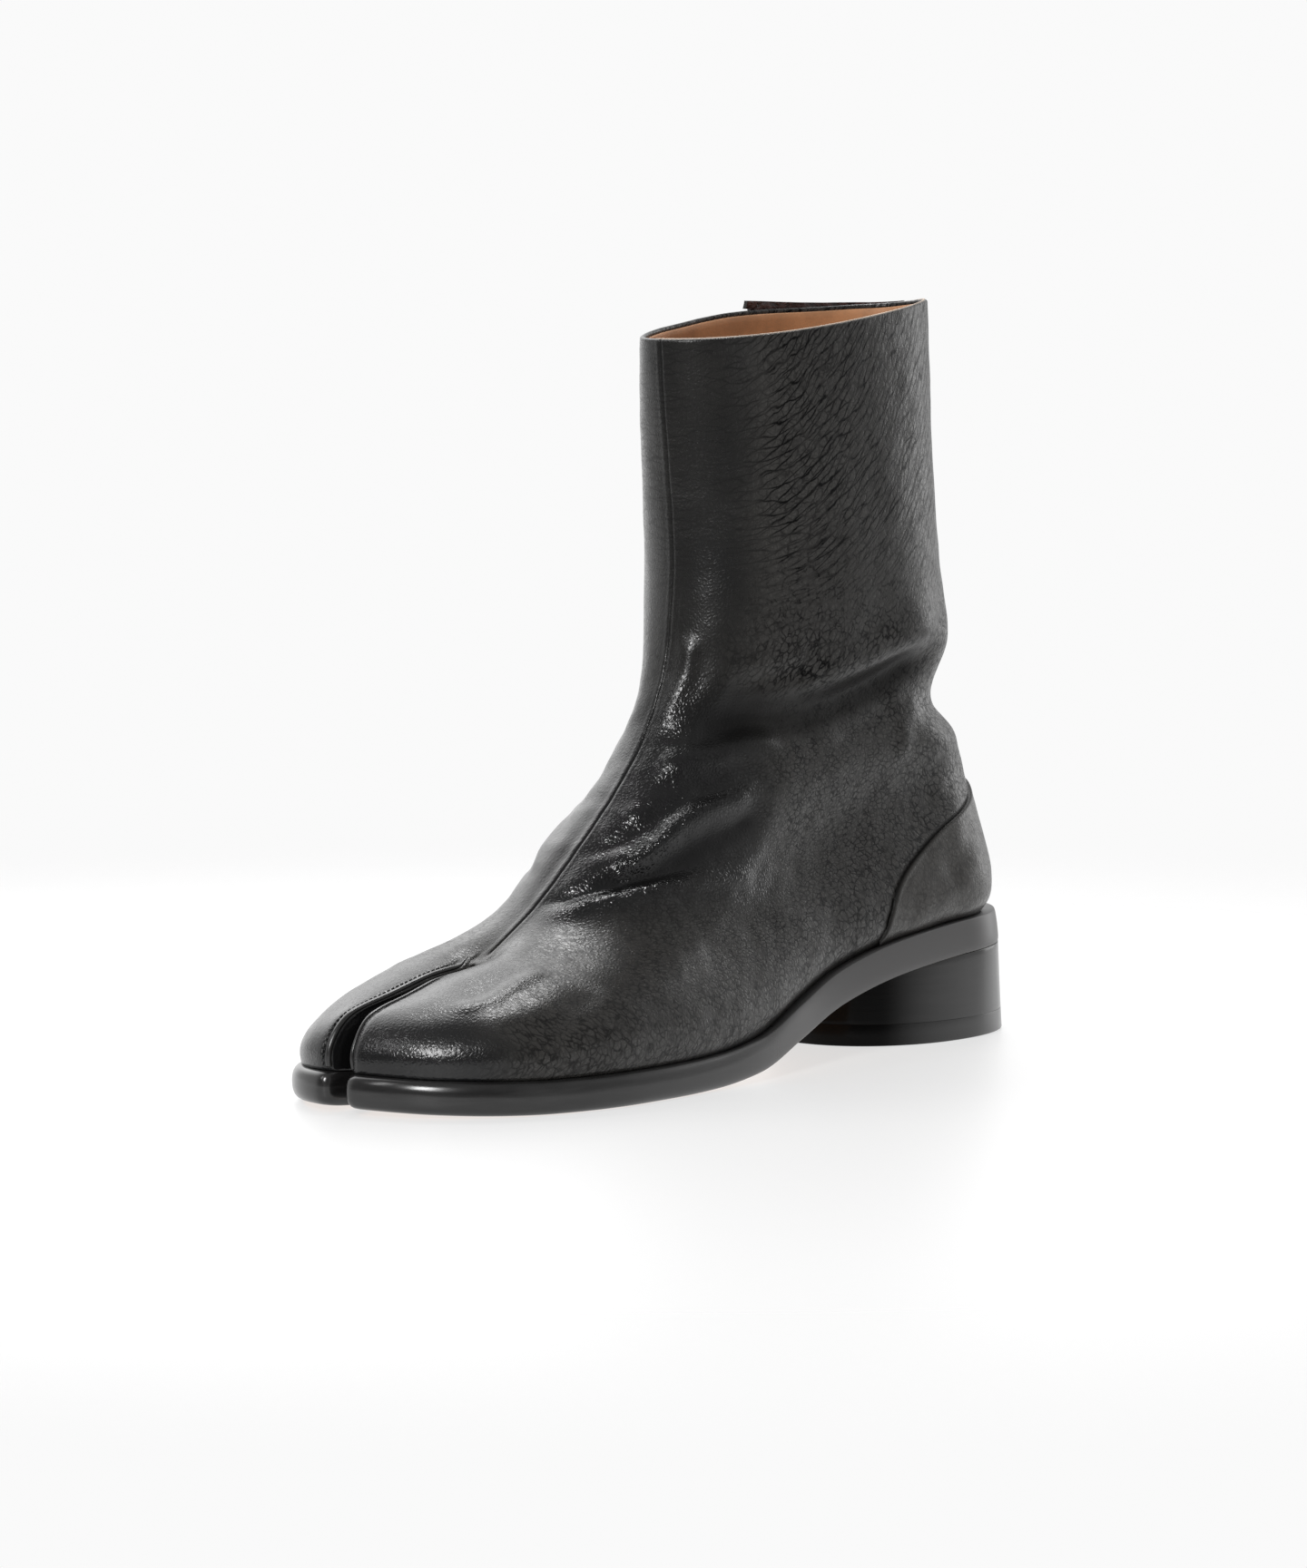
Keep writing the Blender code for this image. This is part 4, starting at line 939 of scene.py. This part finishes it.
def build_heel_piece(name, node, levels, mat):
    n = 200
    rings = []
    for height, part, inset in levels:
        xy = heel_ring(part, inset, n)
        rings.append(np.column_stack([xy, height(xy[:, 1])]))
    faces = wrap(len(rings), n)
    right = list(range(0, n // 2 + 1))
    left = [0] + list(range(n - 1, n // 2 - 1, -1))
    for r in (0, len(rings) - 1):
        faces += [tuple(r * n + i for i in f) for f in zipper(rings[r], right, left)]
    obj = make_piece(name, np.concatenate(rings), faces, [mat])
    a = np.linspace(0, 2 * math.pi, n, endpoint=False)
    # Painted shade: the heel's breast, facing into the arch, is darkened and its reflection dulled.
    give_value(obj, "painted_breast_shade", np.tile(ease(1.0, 0.58, np.abs(np.sin(a))) * ease(0.1, -0.2, np.cos(a)), len(rings)))
    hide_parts(node)
    return obj


def build_heels():
    def level(z):
        return lambda y: 0 * y + z
    top = TOP_PIECE
    build_heel_piece("heel_lift", "heel_top_piece",
                     [(level(0.0), 0.0, 2.0), (level(0.0), 0.0, 0.45), (level(0.12), 0.0, 0.15), (level(0.45), 0.01, 0.0), (level(3.5), 0.13, 0.0),
                      (level(top - 0.14), 0.245, 0.0), (level(top - 0.03), 0.25, 0.02), (level(top), 0.25, 0.09), (level(top), 0.25, 2.0)], RUBBER)

    def between(t):
        return lambda y: (top + 0.02) * (1 - t) + (sole_low(y) - 0.02) * t
    start = 0.25
    stack = [(between(0.0), start, 2.0), (between(0.0), start, 0.09), (between(0.002), start, 0.02), (between(0.008), start, 0.0)]
    stack += [(between(t), start + (1 - start) * t, 0.0) for t in np.linspace(0.08, 0.985, 12)]
    stack += [(between(0.997), 1.0, 0.04), (between(1.0), 1.0, 0.18), (between(1.0), 1.0, 2.0)]
    build_heel_piece("heel_stack", "heel_block", stack, HEEL)


build_outsole()
build_heels()
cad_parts["insole"].data.materials.clear()
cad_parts["insole"].data.materials.append(SOCK)


# ----------------------------------------------------------------- overlays
def surface_patch(levels, ways):
    """Points and outward normals of the upper over levels and ways."""
    grid = np.array([upper_side(s, ways) for s in levels])
    normal = grid_normals(grid, False)
    out = grid - np.array([0.0, 60.0, 0.0])
    out[..., 2] = 0
    return grid, normal * np.sign((normal * out).sum(2, keepdims=True))


def build_counter():
    ways = np.concatenate([np.linspace(-0.347, -0.23, 42)[:-1], np.linspace(-0.23, 0.23, 62), np.linspace(0.23, 0.347, 42)[1:]])
    steps = 1 - (1 - np.linspace(0, 1, 44)) ** 1.5

    levels = np.linspace(0, 7.4, 90)
    full, full_normal = surface_patch(levels, ways)
    grid, normal = np.zeros((len(steps), len(ways), 3)), np.zeros((len(steps), len(ways), 3))
    for c, w in enumerate(ways):
        s = float(counter_top(abs(w))) * steps
        for k in range(3):
            grid[:, c, k] = np.interp(s, levels, full[:, c, k])
            normal[:, c, k] = np.interp(s, levels, full_normal[:, c, k])
    normal /= np.linalg.norm(normal, axis=2, keepdims=True)
    flat = grid.reshape(-1, 3)
    d, _ = near_line(flat, counter_line)
    lift = -0.45 + 1.20 * np.sqrt(np.clip(1 - (1 - np.clip(d / 0.75, 0, 1)) ** 2, 0, 1)) + 0.14 * np.exp(-((d - 1.1) / 0.6) ** 2)
    lift += tuck_height(flat) * 0.95
    pts = flat + normal.reshape(-1, 3) * (lift + crease_height(flat))[:, None]
    rows, cols = grid.shape[:2]
    faces = [(r * cols + c, r * cols + c + 1, (r + 1) * cols + c + 1, (r + 1) * cols + c) for r in range(rows - 1) for c in range(cols - 1)]
    obj = make_piece("heel_counter_skin", pts, faces, [COUNTER])
    along = np.abs(run_along(grid, cols // 2))
    give_grain(obj, pts.reshape(grid.shape), 150.0 - along, along)
    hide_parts("heel_counter")


def build_flap():
    ways = -np.linspace(FLAP_FROM, FLAP_TO, 84)
    wall, wall_normal = surface_patch(np.linspace(FLAP_LOW, COLLAR, 70), ways)
    wall_normal[..., 2] *= 0.2
    wall_normal /= np.linalg.norm(wall_normal, axis=2, keepdims=True)
    lift = crease_height(wall.reshape(-1, 3)).reshape(wall.shape[:2])
    wall = wall + wall_normal * lift[..., None]
    # the free end narrows to a tab at the top
    high_z = wall[-1, :, 2] + FLAP_RISE * ((-ways - FLAP_FROM) / (FLAP_TO - FLAP_FROM)) ** 2 + 0.3
    end = ease(FLAP_TO - 0.045, FLAP_TO - 0.012, -ways)
    low_z = (1 - end) * wall[0, :, 2] + end * (high_z - 2.5)
    steps = 1 - (1 - np.linspace(0, 1, 76)) ** 1.4
    grid, normal = np.zeros((len(steps), len(ways), 3)), np.zeros((len(steps), len(ways), 3))
    for c in range(len(ways)):
        z = low_z[c] + (high_z[c] - low_z[c]) * steps
        for k in range(3):
            grid[:, c, k] = np.interp(z, wall[:, c, 2], wall[:, c, k])
            normal[:, c, k] = np.interp(z, wall[:, c, 2], wall_normal[:, c, k])
        grid[:, c, 2] = z
    normal /= np.linalg.norm(normal, axis=2, keepdims=True)
    curl = 0.35 * waves(grid.reshape(-1, 3), 21, 9.0).reshape(grid.shape[:2]) * ease(-6, 1, grid[..., 2] - wall[-1, :, 2])
    grid = grid + normal * curl[..., None]
    rows, cols = grid.shape[:2]
    low, high = grid + 0.40 * normal, grid + 1.75 * normal
    pts = np.concatenate([low.reshape(-1, 3), high.reshape(-1, 3)])
    k = rows * cols
    faces, index = [], []
    for r in range(rows - 1):
        for c in range(cols - 1):
            q = [r * cols + c, r * cols + c + 1, (r + 1) * cols + c + 1, (r + 1) * cols + c]
            faces += [q, [k + i for i in q]]
            index += [1, 0]
    rim = ([(0, c) for c in range(cols)] + [(r, cols - 1) for r in range(1, rows)]
           + [(rows - 1, c) for c in range(cols - 2, -1, -1)] + [(r, 0) for r in range(rows - 2, 0, -1)])
    rim = [r * cols + c for r, c in rim]
    for a, b in zip(rim, rim[1:] + rim[:1]):
        faces.append([a, b, k + b, k + a])
        index.append(0)
    obj = make_piece("closure_flap_skin", pts, faces, [OVERLAY, FLAP_BACK], index)
    along = run_along(grid, 0)
    give_grain(obj, grid, 110.0 - along, along, 2)
    bevel = obj.modifiers.new("edge", "BEVEL")
    bevel.width, bevel.segments, bevel.limit_method, bevel.angle_limit = 0.00045, 3, "ANGLE", math.radians(50)
    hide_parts("closure_flap")


def build_collar_edge():
    """Thin pale cut edge of the lining along the near half of the collar."""
    top = skin[-1, 6:N_HALF + 30].copy()
    inward = -base_normal[-1, 6:N_HALF + 30] * np.array([1, 1, 0])
    inward /= np.linalg.norm(inward, axis=1, keepdims=True)
    line = top + inward * 1.0 + np.array([0, 0, -0.05])
    around, pts = 8, []
    for i in range(len(line)):
        part = i / (len(line) - 1)
        r = 0.27 * float(ease(0, 0.12, part) * ease(1, 0.88, part)) + 0.03
        for a in range(around):
            th = 2 * math.pi * a / around
            pts.append(line[i] + inward[i] * r * math.cos(th) + np.array([0, 0, r * math.sin(th)]))
    faces = [[i * around + a, i * around + (a + 1) % around, (i + 1) * around + (a + 1) % around, (i + 1) * around + a]
             for i in range(len(line) - 1) for a in range(around)]
    faces += [list(range(around)), [(len(line) - 1) * around + a for a in range(around)]]
    obj = make_piece("collar_cut_edge", np.array(pts), faces, [CUT_EDGE])


build_counter()
build_flap()
build_collar_edge()


# ------------------------------------------------------- piping of the cleft
def build_piping():
    """A narrow rounded strip sewn along each edge of the cleft."""
    pts, faces = [], []
    around = 10
    stop = len(cleft_rows)
    for col, radius, top in ((EDGE_OUT - 1, 0.62, int(stop * 0.80)), (EDGE_IN + 1, 0.95, stop - 3)):
        line = smooth_line(skin[1:top, col][::2], 90)
        nrm = smooth_line(base_normal[1:top, col][::2], 90)
        tan = np.gradient(line, axis=0)
        tan /= np.linalg.norm(tan, axis=1, keepdims=True)
        first = len(pts)
        for i in range(len(line)):
            nn = nrm[i] - tan[i] * (nrm[i] @ tan[i])
            nn /= np.linalg.norm(nn)
            bb = np.cross(tan[i], nn)
            r = radius * (0.30 + 0.70 * float(ease(1.0, 0.85, i / (len(line) - 1))))
            for a in range(around):
                th = 2 * math.pi * a / around
                pts.append(line[i] + nn * (r * 0.85 * math.sin(th) - 0.05) + bb * r * math.cos(th))
        for i in range(len(line) - 1):
            for a in range(around):
                c = (a + 1) % around
                faces.append([first + i * around + a, first + i * around + c, first + (i + 1) * around + c, first + (i + 1) * around + a])
        faces.append([first + a for a in range(around)])
        faces.append([first + (len(line) - 1) * around + a for a in range(around)])
    obj = make_piece("cleft_piping", np.array(pts), faces, [PIPING])


build_piping()


# ----------------------------------------------------------------- stitches
def resample(line, pitch):
    seg = np.linalg.norm(np.diff(line, axis=0), axis=1)
    run = np.concatenate([[0], np.cumsum(seg)])
    at = np.arange(pitch * 0.5, run[-1], pitch)
    return np.column_stack([np.interp(at, run, line[:, i]) for i in range(3)])


def build_stitches(name, lines, pitch, length, radius):
    """Rows of small rounded stitches lying on lines with given normals."""
    pts, faces = [], []
    rings, around = 7, 8
    for line, normal in lines:
        mids = resample(line, pitch)
        ends = resample(line, pitch * 0.5)
        nm = np.array([normal[np.argmin(np.linalg.norm(line - m, axis=1))] for m in mids])
        for i, m in enumerate(mids):
            ahead = mids[min(i + 1, len(mids) - 1)] - mids[max(i - 1, 0)]
            t = ahead / max(np.linalg.norm(ahead), 1e-9)
            n = nm[i] - t * (nm[i] @ t)
            n /= max(np.linalg.norm(n), 1e-9)
            b = np.cross(t, n)
            first = len(pts)
            for k in range(rings):
                u = -1 + 2 * k / (rings - 1)
                r = radius * math.sqrt(max(1 - abs(u) ** 3, 0.02))
                for a in range(around):
                    th = 2 * math.pi * a / around
                    pts.append(m + t * u * length / 2 + n * (r * math.sin(th) * 0.8 + 0.12 - 0.25 * u * u * radius) + b * r * math.cos(th))
            for k in range(rings - 1):
                for a in range(around):
                    c = (a + 1) % around
                    faces.append([first + k * around + a, first + k * around + c, first + (k + 1) * around + c, first + (k + 1) * around + a])
            faces.append([first + a for a in range(around)][::-1])
            faces.append([first + (rings - 1) * around + a for a in range(around)])
    obj = make_piece(name, np.array(pts), faces, [THREAD])
    return obj


def cleft_lines(offset):
    """Line beside the inner lobe's edge of the cleft, offset points towards the cleft."""
    stop = len(cleft_rows) - 9
    col = EDGE_IN - offset
    return [(skin[1:stop, col], base_normal[1:stop, col])]


build_stitches("cleft_stitches", cleft_lines(-4), 1.75, 1.25, 0.30)


# ------------------------------------------------------- floor, light, camera
FLOOR_GLOW = 0.66
ROOM_LEVEL = 0.20
# parts of the white room: azimuth, elevation, full within, gone beyond (degrees), gain
ROOM = [(206, 8, 22, 56, 0.85), (-90, 10, 25, 62, 0.92), (124, 0, 34, 62, 0.52), (114, 26, 10, 30, -0.15), (0, 90, 25, 65, 0.20),
        (-112, 48, 13, 38, 2.5)]


def build_floor():
    mesh = bpy.data.meshes.new("floor")
    n, r = 64, 1.5
    mesh.from_pydata([(r * math.cos(2 * math.pi * i / n), r * math.sin(2 * math.pi * i / n), -0.0002) for i in range(n)], [], [list(range(n))])
    mat = bpy.data.materials.new("floor_white")
    nd = Nodes(mat)
    here = nd.coords()
    far = nd.add("ShaderNodeVectorMath", {0: here}, operation="LENGTH").outputs["Value"]
    fade = nd.ramp(far, 0.24, 0.62)
    nd.set(Base_Color=(0.18, 0.18, 0.18, 1), Roughness=0.40, Specular_IOR_Level=0.30, Emission_Color=(1, 1, 1, 1), Emission_Strength=FLOOR_GLOW)
    clear = nd.add("ShaderNodeBsdfTransparent")
    both = nd.add("ShaderNodeMixShader", {0: fade, 1: nd.shader.outputs[0], 2: clear.outputs[0]})
    nd.tree.links.new(both.outputs[0], nd.out.inputs["Surface"])
    mesh.materials.append(mat)
    obj = bpy.data.objects.new("floor", mesh)
    bpy.context.scene.collection.objects.link(obj)


def toward(az, el):
    a, e = math.radians(az), math.radians(el)
    return Vector((math.sin(a) * math.cos(e), -math.cos(a) * math.cos(e), math.sin(e)))


def soft_light(name, az, el, distance, size, radiance, aim=(0, 0, 0.08), colour=(1, 1, 1)):
    data = bpy.data.lights.new(name, "AREA")
    data.shape = "RECTANGLE"
    data.size, data.size_y = size
    data.energy = radiance * math.pi * size[0] * size[1]
    data.color = colour
    obj = bpy.data.objects.new(name, data)
    obj.location = Vector(aim) + toward(az, el) * distance
    obj.rotation_euler = (Vector(aim) - obj.location).to_track_quat("-Z", "Y").to_euler()
    bpy.context.scene.collection.objects.link(obj)
    return obj


def build_world():
    world = bpy.data.worlds.new("studio")
    bpy.context.scene.world = world
    world.use_nodes = True
    t = world.node_tree
    t.nodes.clear()
    out = t.nodes.new("ShaderNodeOutputWorld")
    room = t.nodes.new("ShaderNodeBackground")
    seen = t.nodes.new("ShaderNodeBackground")
    seen.inputs[0].default_value = (0.955, 0.955, 0.955, 1)
    coord = t.nodes.new("ShaderNodeTexCoord")
    total = None
    for az, el, inner, outer, gain in ROOM:
        dot = t.nodes.new("ShaderNodeVectorMath")
        dot.operation = "DOT_PRODUCT"
        dot.inputs[1].default_value = toward(az, el)
        t.links.new(coord.outputs["Generated"], dot.inputs[0])
        ramp = t.nodes.new("ShaderNodeMapRange")
        ramp.interpolation_type = "SMOOTHSTEP"
        for i, v in ((1, math.cos(math.radians(outer))), (2, math.cos(math.radians(inner))), (3, 0.0), (4, gain)):
            ramp.inputs[i].default_value = v
        t.links.new(dot.outputs["Value"], ramp.inputs[0])
        add = t.nodes.new("ShaderNodeMath")
        add.operation = "ADD"
        if total is None:
            add.inputs[0].default_value = ROOM_LEVEL
        else:
            t.links.new(total, add.inputs[0])
        t.links.new(ramp.outputs[0], add.inputs[1])
        total = add.outputs[0]
    keep = t.nodes.new("ShaderNodeMath")
    keep.operation = "MAXIMUM"
    keep.inputs[1].default_value = 0.02
    t.links.new(total, keep.inputs[0])
    t.links.new(keep.outputs[0], room.inputs["Strength"])
    path = t.nodes.new("ShaderNodeLightPath")
    mix = t.nodes.new("ShaderNodeMixShader")
    t.links.new(path.outputs["Is Camera Ray"], mix.inputs[0])
    t.links.new(room.outputs[0], mix.inputs[1])
    t.links.new(seen.outputs[0], mix.inputs[2])
    t.links.new(mix.outputs[0], out.inputs[0])


def build_camera():
    data = bpy.data.cameras.new("camera")
    data.sensor_width = 36.0
    data.lens = 8162.0 * 36.0 / 1728.0
    data.clip_end = 20.0
    obj = bpy.data.objects.new("camera", data)
    target = Vector(((np.array([-7.717, 4.595, 83.55]) + SHIFT) * MM))
    place = Vector(((np.array([1394.8, -1675.8, 305.5]) + SHIFT) * MM))
    obj.location = place
    obj.rotation_euler = (target - place).to_track_quat("-Z", "Y").to_euler()
    bpy.context.scene.collection.objects.link(obj)
    bpy.context.scene.camera = obj


build_floor()
build_world()
soft_light("key_front", 21, 30, 1.6, (0.32, 0.52), 28.0)
soft_light("key_left", -14, 38, 1.6, (0.15, 0.60), 8.0)
soft_light("top", -142, 67, 1.3, (0.46, 0.22), 15.0)
soft_light("back_right", 172, 12, 1.6, (0.6, 1.0), 1.2)
build_camera()
bpy.context.scene.view_settings.view_transform = "Standard"
